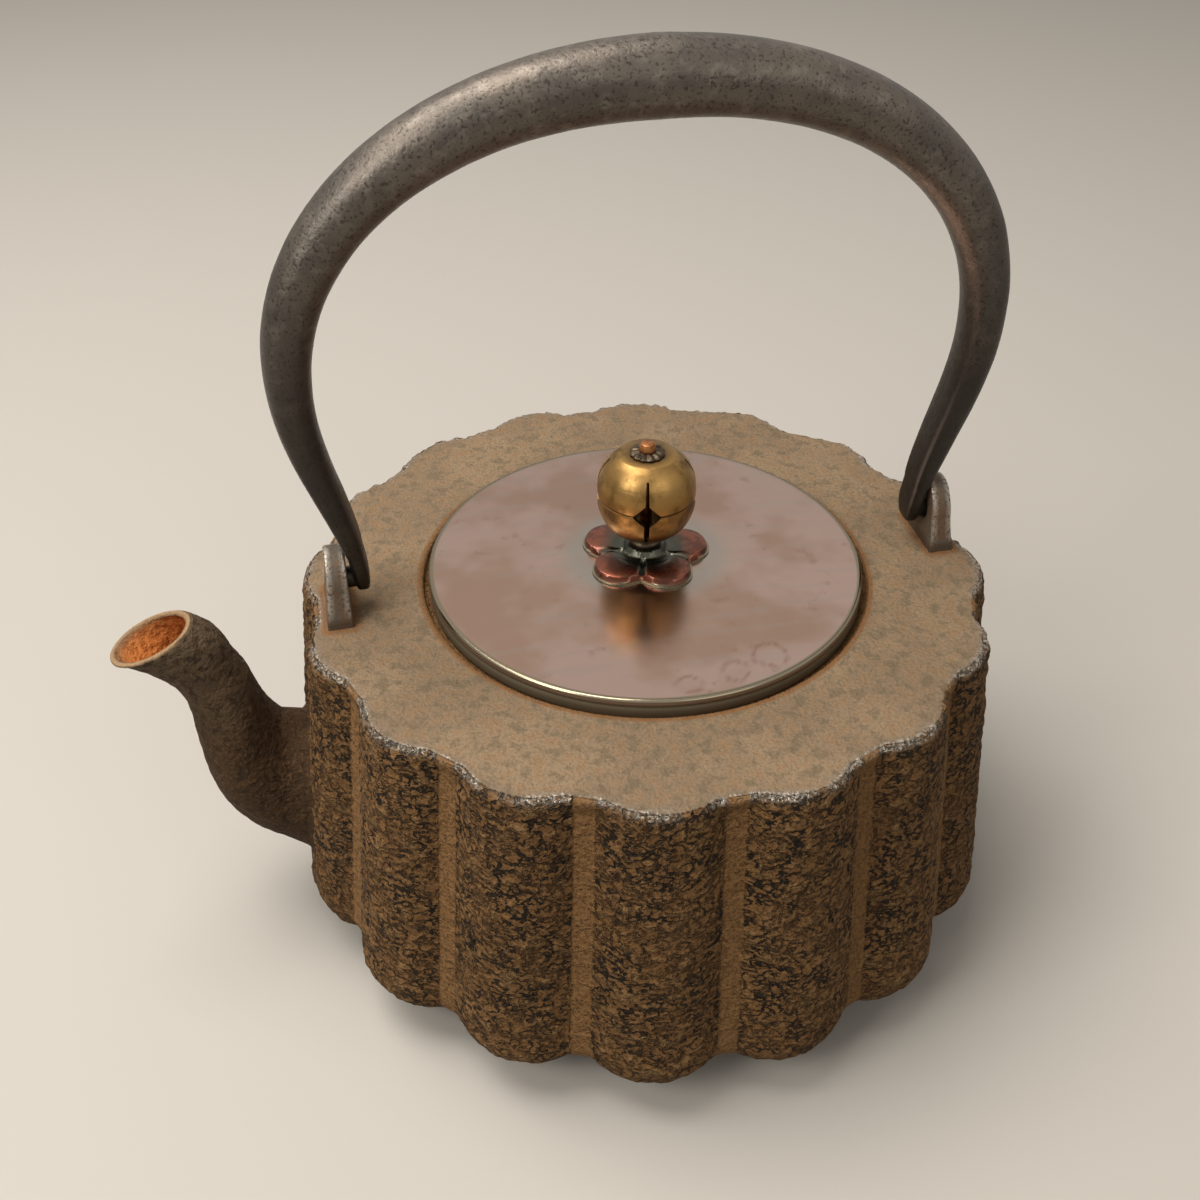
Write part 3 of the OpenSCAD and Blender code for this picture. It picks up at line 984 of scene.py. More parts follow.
    def hidden(self) -> np.ndarray:
        """The base, then the inside from its floor up to the lid's ledge and recess.

        Returns:
            Points by row and column, going on from the skin's last row.
        """
        turn = angles(self.columns)
        base = [
            (self.base_r - 0.1, self.base_h - 0.5),
            (self.base_r - 1.4, 1.2),
            (self.base_r - 2.0, 0.35),
            (self.base_r - 2.8, 0.0),
            (52.0, 0.0),
            (50.0, 0.7),
            (25.0, 0.8),
            (0.02, 0.8),
            (0.02, 3.5),
            (30.0, 3.5),
            (53.0, 3.6),
            (56.0, 4.4),
            (57.0, 5.8),
            (57.2, 8.2),
            (58.6, 9.0),
        ]
        rows: list[tuple[float | np.ndarray, float]] = list(base)
        inner_round = self.lower_round - self.wall
        floor = self.base_h + self.roof
        for i in range(8):
            a = -math.pi / 2 + math.pi / 2 * i / 7
            z = floor + inner_round * (1 + math.sin(a))
            depth = self.depth(turn, np.full_like(turn, z)) * math.cos(a)
            r = self.foot_r - self.flare * z - self.wall - inner_round * (1 - math.cos(a)) - depth
            rows.append((r, z))
        high = self.height - self.roof
        for i in range(1, 13):
            z = floor + inner_round + (high - 2 - floor - inner_round) * i / 12
            r = self.foot_r - self.flare * z - self.wall - self.depth(turn, np.full_like(turn, z))
            rows.append((r, z))
        last = rows[-1][0]
        rows += [(last - 0.6, high - 0.6), (last - 2.0, high)]
        under = self.height - self.recess - self.ledge
        rim = [
            (self.recess_r + 4.6, high),
            (self.recess_r + 4.0, high - 0.6),
            (self.recess_r + 3.8, under + 0.3),
            (self.recess_r + 3.4, under),
            (self.mouth_r + 0.4, under),
            (self.mouth_r, under + 0.4),
            (self.mouth_r, self.height - self.recess - 0.4),
            (self.mouth_r + 0.4, self.height - self.recess),
            (self.recess_r - 0.5, self.height - self.recess),
            (self.recess_r, self.height - self.recess + 0.4),
            (self.recess_r, self.height - 0.7),
            (self.recess_r + 0.2, self.height - 0.2),
        ]
        return np.array([hoop(turn, r, z) for r, z in rows + rim])

    def open_passage(self, obj: bpy.types.Object) -> None:
        """Opens the wall behind the spout and closes the edge between its two skins.

        Args:
            obj: The vessel.
        """
        work = bmesh.new()
        work.from_mesh(obj.data)
        gone = []
        for face in work.faces:
            c = face.calc_center_median() / MM
            near = math.hypot(c.y, c.z - self.passage_z) < self.passage_r
            if c.x < 0 and near and abs(c.x) > self.rim_r / 2:
                gone.append(face)
        bmesh.ops.delete(work, geom=gone, context="FACES")
        loose = [e for e in work.edges if e.is_boundary]
        bmesh.ops.bridge_loops(work, edges=loose)
        work.to_mesh(obj.data)
        work.free()

    def build(self) -> bpy.types.Object:
        """Makes, dresses and places the vessel.

        Returns:
            The piece.
        """
        skin, layers = self.skin()
        rest = self.hidden()
        points = np.concatenate([skin, rest])
        extra = np.zeros(rest.shape[:2])
        inside = {
            "groove": extra + 1,
            "roof": extra,
            "wear": extra,
            "low": extra + 1,
            "painted_relief_shading": extra + 0.5,
        }
        full = {k: np.concatenate([v, inside[k]]).ravel() for k, v in layers.items()}
        faces = grid_faces(len(points), self.columns, closed=True)[:, ::-1]
        obj = make_mesh("vessel", points.reshape(-1, 3), faces, full)
        weld(obj)
        self.open_passage(obj)
        shade_smooth(obj, 60)
        dress(obj, RustedCastIron("rusted sand-cast iron").material())
        stand_in(obj, Body.KETTLE, ["kettle_body"])
        return obj


@dataclass
class Spout:
    """The cast spout: a wide root set in the wall, a narrow neck and a slightly flared mouth."""

    vessel: KettleBody
    root_z: float = 37.9
    root_h: float = 31.7
    root_w: float = 31.0
    seat_x: float = 85.92
    reach: float = 112.1
    mouth_z: float = 86.2
    mouth_d: float = 19.8
    mouth_w: float = 16.1
    neck_d: float = 15.8
    neck_at: float = 0.74
    lean: float = 20.0
    belly: float = 23.4
    rise: float = 16.1
    sweep: float = 23.7
    bow: float = 44.6
    wall: float = 1.4
    bore_r: float = 10.5
    narrowing: float = 1.43
    opening: float = 1.6
    bend: float = 0.84
    rings: int = 90
    sides: int = 96
    noise: SolidNoise = field(default_factory=lambda: SolidNoise(21))

    def middle(self, t: float) -> np.ndarray:
        """Point of the spout's middle line.

        Args:
            t: Place along the spout, from 0 at the wall to 1 at the mouth.

        Returns:
            Its x and z.
        """
        a = math.radians(self.lean + self.bow)
        p0 = np.array([-self.seat_x, self.root_z])
        p1 = p0 + (-self.belly, self.rise)
        p3 = np.array([-self.reach, self.mouth_z])
        p2 = p3 + self.sweep * np.array([math.sin(a), -math.cos(a)])
        return (1 - t) ** 3 * p0 + 3 * t * (1 - t) ** 2 * p1 + 3 * t * t * (1 - t) * p2 + t**3 * p3

    def width(self, root: float, neck: float, mouth: float, t: float) -> float:
        """Width of a section that narrows to the neck and opens again at the mouth.

        Args:
            root: Width at the wall.
            neck: Width at the neck.
            mouth: Width at the mouth.
            t: Place along the spout, from 0 at the wall to 1 at the mouth.

        Returns:
            The width there.
        """
        if t < self.neck_at:
            return root + (neck - root) * ease((t / self.neck_at) ** self.narrowing)
        return neck + (mouth - neck) * ((t - self.neck_at) / (1 - self.neck_at)) ** self.opening

    def ring(self, t: float, high: float, broad: float, lift: float = 0.0) -> np.ndarray:
        """One ring of points round the middle line.

        Args:
            t: Place along the spout, from 0 at the wall to 1 at the mouth.
            high: Width in the upright plane.
            broad: Width from side to side.
            lift: Distance along the spout past that place.

        Returns:
            One row of x, y and z for each point.
        """
        tilt = math.radians(90 - (90 - self.lean) * t**self.bend)
        a = angles(self.sides)
        m = self.middle(t)
        way = np.array([-math.sin(tilt), math.cos(tilt)]) * lift
        return np.stack(
            [m[0] + way[0] + high / 2 * np.cos(a) * math.cos(tilt),
             broad / 2 * np.sin(a),
             m[1] + way[1] + high / 2 * np.cos(a) * math.sin(tilt)], axis=1,
        )

    def root_ring(self, grow: float, out: float) -> np.ndarray:
        """A ring of the root's outline laid on the wall, so the casting runs into the lobes.

        Args:
            grow: Width past the spout's own outline.
            out: Height above the wall's skin.

        Returns:
            One row of x, y and z for each point.
        """
        ring = self.ring(0.0, self.root_h + 2 * grow, self.root_w + 2 * grow)
        y, z = ring[:, 1], ring[:, 2]
        turn = math.pi - np.arcsin(np.clip(y / (self.vessel.foot_r - self.vessel.flare * z), -1, 1))
        depth = self.vessel.depth(turn, z)
        radius = self.vessel.foot_r - self.vessel.flare * z - depth + out
        return np.stack([-np.sqrt(radius**2 - y**2), y, z], axis=1)

    def build(self) -> bpy.types.Object:
        """Makes, dresses and places the spout.

        Returns:
            The piece.
        """
        rings = [
            self.root_ring(3.2, -1.6),
            self.root_ring(2.2, -0.5),
            self.root_ring(1.4, 0.1),
            self.root_ring(0.9, 0.7),
        ]
        grains = [0.3] * len(rings)
        for i in range(1, self.rings):
            t = 0.04 + 0.96 * i / self.rings
            rings.append(self.ring(t, self.width(self.root_h, self.neck_d, self.mouth_d, t),
                                   self.width(self.root_w, self.neck_d, self.mouth_w, t)))
            grains.append(float(smooth(1.0, 0.93, t)))
        outer_rows = len(rings)
        for shrink, lift in (
            (0.0, -0.5),
            (0.25, -0.15),
            (0.7, 0.0),
            (2 * self.wall - 0.6, -0.05),
            (2 * self.wall, -0.5),
        ):
            rings.append(self.ring(1.0, self.mouth_d - shrink, self.mouth_w - shrink, lift))
            grains.append(0.12)
        for i in range(self.rings - 2, -1, -4):
            t = i / self.rings
            rings.append(
                self.ring(
                    t,
                    *(
                        self.width(
                            2 * self.bore_r, self.neck_d - 2 * self.wall, mouth - 2 * self.wall, t
                        )
                        for mouth in (self.mouth_d, self.mouth_w)
                    ),
                )
            )
            grains.append(0.2)
        for x, r in (
            (self.seat_x - 4.5, self.bore_r),
            (self.seat_x - 7.6, self.bore_r),
            (self.seat_x - 8.0, self.bore_r + 0.4),
            (self.seat_x - 8.0, self.bore_r + 1.6),
            (self.seat_x - 7.6, self.bore_r + 2.0),
            (self.seat_x - 1.0, self.bore_r + 2.0),
        ):
            bore = self.ring(0.0, 2 * r, 2 * r)
            bore[:, 0] = -x
            rings.append(bore)
            grains.append(0.0)
        stack = np.array(rings)
        flat = stack.reshape(-1, 3)
        rough = 0.22 * self.noise.layers(flat, (2.4, 2.4, 2.0), 3) + 0.22 * self.noise.layers(
            flat + 50, (9, 9, 9), 2
        )
        faces = grid_faces(len(rings), self.sides, closed=True)
        normal = self.normals(stack)
        moved = flat + normal.reshape(-1, 3) * (rough * np.repeat(grains, self.sides))[:, None]
        row = np.repeat(np.arange(len(rings)), self.sides)
        lip = np.exp(-(((row - outer_rows - 2) / 1.6) ** 2))
        inside = smooth(outer_rows + 3, outer_rows + 6, row)
        obj = make_mesh("spout_casting", moved, faces[:, ::-1],
                        {"lip": lip, "inside": inside, "height": flat[:, 2], "groove": inside * 0})
        weld(obj)
        shade_smooth(obj, 60)
        dress(obj, SpoutIron("rusted cast iron, spout").material())
        stand_in(obj, Body.KETTLE, ["spout"])
        return obj

    def normals(self, stack: np.ndarray) -> np.ndarray:
        """Outward normals of a grid of rings.

        Args:
            stack: Array of ring, point and coordinate.

        Returns:
            A unit vector for each point.
        """
        along = np.gradient(stack, axis=0)
        round_way = np.roll(stack, -1, axis=1) - np.roll(stack, 1, axis=1)
        normal = np.cross(along, round_way)
        normal /= np.maximum(np.linalg.norm(normal, axis=2), 1e-9)[..., None]
        middle = stack.mean(axis=1, keepdims=True)
        sign = np.sign(((stack - middle) * normal).sum(axis=2))
        return normal * sign[..., None]


@dataclass(frozen=True)
class SpoutIron:
    """Cast iron of the spout: darker and smoother than the lobes, raw rust inside, bare lip.

    The eye sees an even dark brown matt skin with fine flecks, greyer toward the mouth, a pale
    ground edge and a bright orange bore.
    """

    name: str
    brown: str = "#4d3823"
    dark: str = "#2e2115"
    fleck: str = "#735639"
    dusty: str = "#6b5b48"
    lip: str = "#b3936f"
    bore: str = "#cf7c3c"
    bore_dark: str = "#a85c26"

    def material(self) -> bpy.types.Material:
        """Wires the finish.

        Returns:
            The material.
        """
        s = Surface(self.name)
        lump = s.texture((2.2, 2.2, 1.7), 4.0, 0.6)
        grain = s.texture(0.8, 3.0, 0.6, 5.0)
        cloud = s.texture(14.0, 2.0, 0.5, 9.0)
        high = s.add(Kind.WINDOW, s.add(Kind.LAYER, attribute_name="height"), 58.0, 84.0)
        outside = s.coats(
            self.brown,
            [
                (s.add(Kind.WINDOW, cloud, 0.42, 0.62, 0.0, 0.35), self.dark),
                (s.add(Kind.TIMES, high, 0.6), self.dusty),
                (s.add(Kind.WINDOW, lump, 0.50, 0.38, 0.0, 0.7), self.dark),
                (s.add(Kind.WINDOW, grain, 0.53, 0.66, 0.0, 0.5), self.fleck),
            ],
        )
        bore = s.coats(
            self.bore, [(s.add(Kind.WINDOW, lump, 0.48, 0.62, 0.0, 0.8), self.bore_dark)]
        )
        colour = s.coats(
            outside,
            [
                (s.add(Kind.LAYER, attribute_name="inside"), bore),
                (s.add(Kind.LAYER, attribute_name="lip"), self.lip),
            ],
        )
        bump = s.add(Kind.BUMP, grain, 0.4 * MM, s.add(Kind.BUMP, lump, 1.5 * MM))
        return s.finish(Base_Color=colour, Roughness=0.8, Specular_IOR_Level=0.2, Normal=bump)


@dataclass
class Lug:
    """One of the two strap lugs that rise from the roof and carry the bail."""

    side: int
    roof_z: float = 88.0
    x: float = 68.0
    thick: float = 5.2
    base_w: float = 8.1
    waist_w: float = 6.3
    top_h: float = 8.1
    pivot: float = 8.0
    sunk: float = 2.0
    hole_r: float = 2.8
    corner: float = 0.55
    lean: float = 0.5
    turns: int = 120

    def outline(self, a: float) -> float:
        """The strap's outline.

        Args:
            a: Angle from upright in radians.

        Returns:
            Distance from the hole's middle to the strap's edge.
        """
        s, c = abs(math.sin(a)), math.cos(a)
        if c >= 0:
            return 1 / math.hypot(s / self.waist_w, c / self.top_h)
        spread = (self.base_w - self.waist_w) / self.pivot
        flank = self.waist_w / max(s + spread * c, 1e-6)
        return min(flank, (self.pivot + self.sunk) / -c)

    def rows(self) -> list[tuple[float, float, float]]:
        """Rings round the hole, over both flat faces and the edge between them.

        Returns:
            Share of the way from the hole to the edge, width taken off there in millimetres,
            and share of the half thickness.
        """
        flat = [
            (0.0, 0.0, 0.88), (0.05, 0.0, 1.0), (0.3, 0.0, 1.0), (0.6, 0.0, 1.0), (0.85, 0.0, 1.0)
        ]
        half = self.thick / 2
        arc = [(1.0, self.corner * (1 - math.cos(a)), 1 - self.corner / half * (1 - math.sin(a)))
               for a in (math.radians(d) for d in (90, 60, 30, 0))]
        near = flat + arc + [(1.0, 0.0, 0.3)]
        return near + [(u, cut, -t) for u, cut, t in reversed(near)]

    def build(self, material: bpy.types.Material) -> bpy.types.Object:
        """Makes, dresses and places the lug.

        Args:
            material: The lugs' iron.

        Returns:
            The piece.
        """
        half = self.thick / 2
        points, edge = [], []
        rows = self.rows()
        for u, cut, t in rows:
            for k in range(self.turns):
                a = 2 * math.pi * k / self.turns
                r = self.hole_r + (self.outline(a) - cut - self.hole_r) * u
                z = self.roof_z + self.pivot + r * math.cos(a)
                up = float(smooth(self.roof_z, self.roof_z + 14.0, z))
                slim = 1.0 - 0.14 * up
                points.append(
                    (self.x + half - self.lean * up + half * t * slim, r * math.sin(a), z)
                )
                corner = math.exp(-(((abs(t) - 0.86) / 0.12) ** 2)) * float(smooth(0.9, 1.0, u))
                edge.append(corner * float(smooth(self.roof_z + 1.0, self.roof_z + 5.0, z)))
        flat = np.array(points)
        noise = SolidNoise(40 + self.side)
        foot = smooth(self.roof_z + 3.2, self.roof_z + 0.6, flat[:, 2])
        flat[:, 0] += 0.10 * noise.layers(flat, (5, 5, 5), 2) + foot * 0.25 * np.sign(
            flat[:, 0] - self.x - half
        )
        if self.side < 0:
            flat[:, :2] *= -1
        faces = grid_faces(len(rows), self.turns, closed=True)
        name, node = ("front_lug_strap", "front_lug") if self.side < 0 else (
            "rear_lug_strap", "rear_lug"
        )
        obj = make_mesh(name, flat, faces, {"foot": foot, "edge": np.array(edge)})
        weld(obj)
        shade_smooth(obj, 60)
        dress(obj, material)
        stand_in(obj, Body.KETTLE, [node])
        return obj


@dataclass(frozen=True)
class LugIron:
    """Cast iron of the lugs: smooth grey brown, bright on the worn corners, dark at the foot."""

    name: str
    grey: str = "#675c4f"
    warm: str = "#745438"
    dark: str = "#4a3a2b"
    rubbed: str = "#b9b0a3"

    def material(self) -> bpy.types.Material:
        """Wires the finish.

        Returns:
            The material.
        """
        s = Surface(self.name)
        patch = s.texture(4.0, 3.0, 0.55)
        grain = s.texture(0.7, 3.0, 0.6, 5.0)
        worn = s.add(
            Kind.TIMES,
            s.add(Kind.LAYER, attribute_name="edge"),
            s.add(Kind.WINDOW, grain, 0.36, 0.52),
        )
        colour = s.coats(
            self.grey,
            [
                (s.add(Kind.WINDOW, patch, 0.46, 0.62, 0.0, 0.7), self.warm),
                (s.add(Kind.WINDOW, grain, 0.46, 0.36, 0.0, 0.5), self.dark),
                (
                    s.add(
                        Kind.WINDOW, s.add(Kind.LAYER, attribute_name="foot"), 0.0, 1.0, 0.0, 0.85
                    ),
                    self.dark,
                ),
                (worn, self.rubbed),
            ],
        )
        return s.finish(
            Base_Color=colour,
            Metallic=s.add(Kind.WINDOW, worn, 0.0, 1.0, 0.25, 0.8),
            Roughness=s.add(Kind.WINDOW, worn, 0.0, 1.0, 0.62, 0.32),
            Normal=s.add(Kind.BUMP, grain, 0.12 * MM, s.add(Kind.BUMP, patch, 0.2 * MM)),
        )


@dataclass
class Bail:
    """The hollow bail: round over the top, flattened to blades where it enters the lugs."""

    pivot_z: float = 96.0
    top_h: float = 103.5
    waist_h: float = 47.0
    half_w: float = 74.2
    end_half_w: float = 64.6
    top_w: float = 15.8
    end_w: float = 5.2
    top_b: float = 14.5
    end_b: float = 9.0
    blade: float = 10.0
    fullness: float = 0.943
    growth: float = 0.61
    slim_w: float = 0.20
    slim_b: float = 0.12
    tip: float = 6.0
    hook_r: float = 2.4
    hook_x: float = 72.7
    leg_steps: int = 60
    arch_steps: int = 150
    sides: int = 64

    @property
    def foot(self) -> float:
        """Height of the legs' ends against the pivot."""
        return -self.hook_r - 0.6

    def full(self, x: float) -> float:
        """Swells a sine or cosine, which gives the arch squarer shoulders."""
        return math.copysign(abs(x) ** self.fullness, x)

    def line(self) -> np.ndarray:
        """The bail's middle line from one end to the other.

        Returns:
            One row of x and height over the pivot for each point.
        """
        rise = self.waist_h - self.foot
        leg = []
        for i in range(self.leg_steps):
            v = self.foot + rise * i / self.leg_steps
            leg.append(
                (
                    self.end_half_w + (self.half_w - self.end_half_w) * ease(
                        (v - self.foot) / rise
                    ),
                    v,
                )
            )
        arch = []
        for i in range(self.arch_steps + 1):
            a = math.pi - math.pi * i / self.arch_steps
            arch.append(
                (
                    self.half_w * self.full(math.cos(a)),
                    self.waist_h + (self.top_h - self.waist_h) * self.full(math.sin(a)),
                )
            )
        return np.array([(-x, v) for x, v in leg] + arch + leg[::-1])

    def build(self) -> bpy.types.Object:
        """Makes, dresses and places the bail.

        Returns:
            The piece.
        """
        line = self.line()
        count = len(line)
        run = np.concatenate([[0], np.cumsum(np.linalg.norm(np.diff(line, axis=0), axis=1))])
        half = run[-1] / 2
        a = angles(self.sides)
        ca, sa = np.cos(a), np.sin(a)
        rings, shares, corners = [], [], []
        for i in range(count):
            way = half - abs(run[i] - half)
            s = (max(way - self.blade, 0.0) / (half - self.blade)) ** self.growth
            back, ahead = line[max(i - 1, 0)], line[min(i + 1, count - 1)]
            course = (ahead - back) / np.linalg.norm(ahead - back)
            nx, nz = course[1], -course[0]
            end = math.sqrt(max(1 - (1 - min(way / self.tip, 1.0)) ** 2, 0.0))
            flat = float(smooth(0.62, 0.10, s))
            w = (self.end_w + (self.top_w - self.end_w) * s) * (0.40 + 0.60 * end) * (
                1 - self.slim_w * flat
            )
            b = (self.end_b + (self.top_b - self.end_b) * s) * (0.35 + 0.65 * end) * (
                1 - self.slim_b * flat
            )
            boxy = 1.0 - 0.42 * flat
            across = np.sign(ca) * np.abs(ca) ** boxy
            aside = np.sign(sa) * np.abs(sa) ** boxy
            # Corner: the blades' corners, which it bulges a little and marks for painted highlight
            # lines.
            corner = np.abs(np.sin(2 * a)) ** 6 * flat * end
            corners.append(corner)
            off = w / 2 * across * (1 + 0.05 * corner - 0.03 * (1 - corner))
            rings.append(
                np.stack(
                    [line[i, 0] + nx * off, b / 2 * aside, self.pivot_z + line[i, 1] + nz * off],
                    axis=1,
                )
            )
            shares.append(s)
        stack = np.array(rings)
        points, faces = capped(stack)
        noise = SolidNoise(77)
        uneven = 0.10 * noise.layers(points, (10, 10, 10), 2)
        middle = np.repeat(stack.mean(axis=1), self.sides, axis=0)
        out = points - middle
        out /= np.maximum(np.linalg.norm(out, axis=1), 1e-6)[:, None]
        points = points + out * (uneven - 0.1)[:, None]
        # Painted dark reflection near the bail's ends, on the lower legs.
        painted_dark_legs = np.repeat([float(smooth(0.85, 0.25, s)) for s in shares], self.sides)
        arm = make_mesh(
            "bail_arm", points, faces, {"end": painted_dark_legs, "corner": np.concatenate(corners)}
        )
        weld(arm)
        material = ForgedBailIron("burnt forged iron").material()
        dress(arm, material)
        hooks = [self.hook(side, material) for side in (-1, 1)]
        obj = join("bail_arm", [arm, *hooks])
        stand_in(obj, Body.BAIL, ["bail"])
        return obj

    def hook(self, side: int, material: bpy.types.Material) -> bpy.types.Object:
        """The round end that turns out of a leg and through its lug.

        Args:
            side: -1 at the spout, 1 at the rear.
            material: The bail's iron.

        Returns:
            The dressed hook, not yet placed.
        """
        rings = []
        sides = 24
        a = angles(sides)
        start = self.end_half_w - 0.4
        for k in range(17):
            t = k / 16
            x = start + (self.hook_x - start) * t
            r = self.hook_r * (
                1.0 if t < 0.93 else math.sqrt(max(1 - ((t - 0.93) / 0.08) ** 2, 0.1))
            )
            rings.append(
                np.stack(
                    [np.full(sides, side * x), r * np.cos(a), self.pivot_z + r * np.sin(a)], axis=1
                )
            )
        points, faces = capped(np.array(rings))
        # The hooks lie wholly in the painted dark reflection of the legs' ends.
        obj = make_mesh(
            "hook", points, faces, {"end": np.ones(len(points)), "corner": np.zeros(len(points))}
        )
        weld(obj)
        dress(obj, material)
        return obj


# ---------------------------------------------------------------- the lid and its knob


@dataclass
class Lid:
    """The copper lid: a slightly domed disc with a turned-down band and a locating ring."""

    roof_z: float = 88.0
    recess: float = 2.0
    radius: float = 50.0
    proud: float = 2.9
    thick: float = 2.0
    dome: float = 1.5
    band: float = 2.4
    ring_r: float = 43.3
    ring_t: float = 2.0
    ring_drop: float = 8.0
    pad_r: float = 15.9

    @property
    def edge_z(self) -> float:
        """Height of the lid's upper edge."""
        return self.roof_z + self.proud

    def top_z(self, r: float) -> float:
        """The lid's crown.

        Args:
            r: Radius.

        Returns:
            Height of the upper face there.
        """
        if r <= self.pad_r:
            return self.edge_z + self.dome
        share = (self.radius - 0.5 - r) / (self.radius - 0.5 - self.pad_r)
        return self.edge_z + self.dome * max(share, 0.0) ** 1.15

    def profile(self) -> list[tuple[float, float]]:
        """The lid's section, from the axis out over the top and back.

        Returns:
            Radius and height of each corner.
        """
        top = [(0.02, self.edge_z + self.dome)]
        top += [(r, self.top_z(r)) for r in np.linspace(4.0, self.radius - 1.6, 60)]
        r, z = self.radius, self.edge_z
        bead = [
            (r - 1.3, z - 0.02),
            (r - 1.0, z),
            (r - 0.55, z - 0.04),
            (r - 0.22, z - 0.2),
            (r - 0.05, z - 0.5),
            (r, z - 0.9),
            (r - 0.02, z - 1.5),
            (r - 0.22, z - 1.75),
            (r - 0.22, z - 1.95),
            (r - 0.04, z - 2.2),
        ]
        low = self.roof_z - self.recess
        band = [
            (r - 0.04, low + 0.5),
            (r - 0.4, low),
            (r - self.band + 0.4, low),
            (r - self.band, low + 0.4),
        ]
        under = z - self.thick
        return top + bead + band + [
            (r - self.band, under - 0.2), (r - self.band - 0.3, under), (0.02, under)
        ]

    def build(self) -> None:
        """Makes, dresses and places the lid and its ring."""
        profile = self.profile()
        turns = 256
        a = angles(turns)
        points = np.array([hoop(a, r, z) for r, z in profile])
        radius = np.array([r for r, _ in profile])
        level = np.array([z for _, z in profile])
        on_top = (np.arange(len(profile)) <= 60).astype(float)
        halo = on_top * np.exp(-(((radius - 15.5) / 3.5) ** 2)) * 0.8
        side = smooth(self.edge_z - 0.7, self.edge_z - 1.1, level) * (radius > self.radius - 1.0)
        edge = (radius > self.radius - 1.2) * (level > self.edge_z - 0.9)
        flat = points.reshape(-1, 3)
        marks = {"halo": halo, "band": side, "edge": edge, "stain": on_top}
        layers = {k: np.repeat(np.asarray(v, float), turns) for k, v in marks.items()}
        layers["stain"] *= self.stains(flat)
        faces = grid_faces(len(profile), turns, closed=True)
        obj = make_mesh("lid", flat, faces[:, ::-1], layers)
        weld(obj)
        shade_smooth(obj, 40)
        dress(obj, LidCopper("patinated spun copper").material())
        stand_in(obj, Body.LID, ["lid_plate"])
        low, high = self.roof_z - self.ring_drop, self.edge_z - self.thick + 0.05
        ring = turned(
            "lid_ring",
            [
                (self.ring_r - self.ring_t, low),
                (self.ring_r - self.ring_t, high),
                (self.ring_r, high),
                (self.ring_r, low),
            ],
            160,
            0.3,
        )
        shade_smooth(ring, 40)
        dress(ring, AgedMetal("brushed copper ring", "#94604a", "#5a3c2e", 0.36, 9.0).material())
        stand_in(ring, Body.LID, ["lid_locating_ring"])

    def stains(self, points: np.ndarray) -> np.ndarray:
        """Rings left by drops of water near the lid's front edge.

        Args:
            points: Places in millimetres.

        Returns:
            How dark the stain is at each.
        """
        total = np.zeros(len(points))
        wobble = SolidNoise(91).layers(points, (4.0, 4.0, 4.0), 2)
        broken = smooth(-0.45, 0.1, SolidNoise(92).layers(points, (3.5, 3.5, 3.5), 2))
        for x, y, r, width in (
            (-1.8, -45.6, 2.4, 0.4), (8.8, -43.4, 2.8, 0.4), (17.6, -40.0, 3.6, 0.5)
        ):
            away = np.hypot(points[:, 0] - x, points[:, 1] - y) + 0.7 * wobble
            total += 0.7 * np.exp(-(((away - r) / width) ** 2)) * broken
        return np.clip(total, 0, 1)


@dataclass(frozen=True)
class LidCopper:
    """Spun sheet copper, patinated and polished, with water stains and a blackened band.

    The eye sees a soft mirror in a dusty pink-brown, greyer round the washer, with a thin
    bright edge above a dark green-brown band.
    """

    name: str
    pink: str = "#b99f93"
    brown: str = "#aa8c7b"
    haze: str = "#a39c93"
    stain: str = "#94705f"
    band: str = "#6e6350"
    edge: str = "#8f8470"

    def material(self) -> bpy.types.Material:
        """Wires the finish.

        Returns:
            The material.
        """
        s = Surface(self.name)
        cloud = s.texture(26.0, 3.0, 0.55)
        spots = s.texture(5.0, 4.0, 0.6, 4.0)
        wipe = s.texture((30.0, 3.0, 30.0), 2.0, 0.5, 8.0)
        band = s.add(Kind.LAYER, attribute_name="band")
        colour = s.coats(
            self.pink,
            [
                (s.add(Kind.WINDOW, cloud, 0.42, 0.62), self.brown),
                (s.add(Kind.WINDOW, wipe, 0.5, 0.7, 0.0, 0.25), self.haze),
                (s.add(Kind.LAYER, attribute_name="halo"), self.haze),
                (s.add(Kind.WINDOW, spots, 0.60, 0.74, 0.0, 0.4), self.stain),
                (s.add(Kind.LAYER, attribute_name="stain"), self.stain),
                (s.add(Kind.LAYER, attribute_name="edge"), self.edge),
                (band, self.band),
            ],
        )
        rough = s.add(
            Kind.PLUS,
            s.add(Kind.WINDOW, cloud, 0.35, 0.65, 0.15, 0.24),
            s.add(Kind.WINDOW, band, 0.0, 1.0, 0.0, 0.2),
        )
        metal = s.add(Kind.WINDOW, band, 0.0, 1.0, 1.0, 0.35)
        return s.finish(
            Base_Color=colour,
            Metallic=metal,
            Roughness=rough,
            Normal=s.add(Kind.BUMP, wipe, 0.012 * MM),
        )


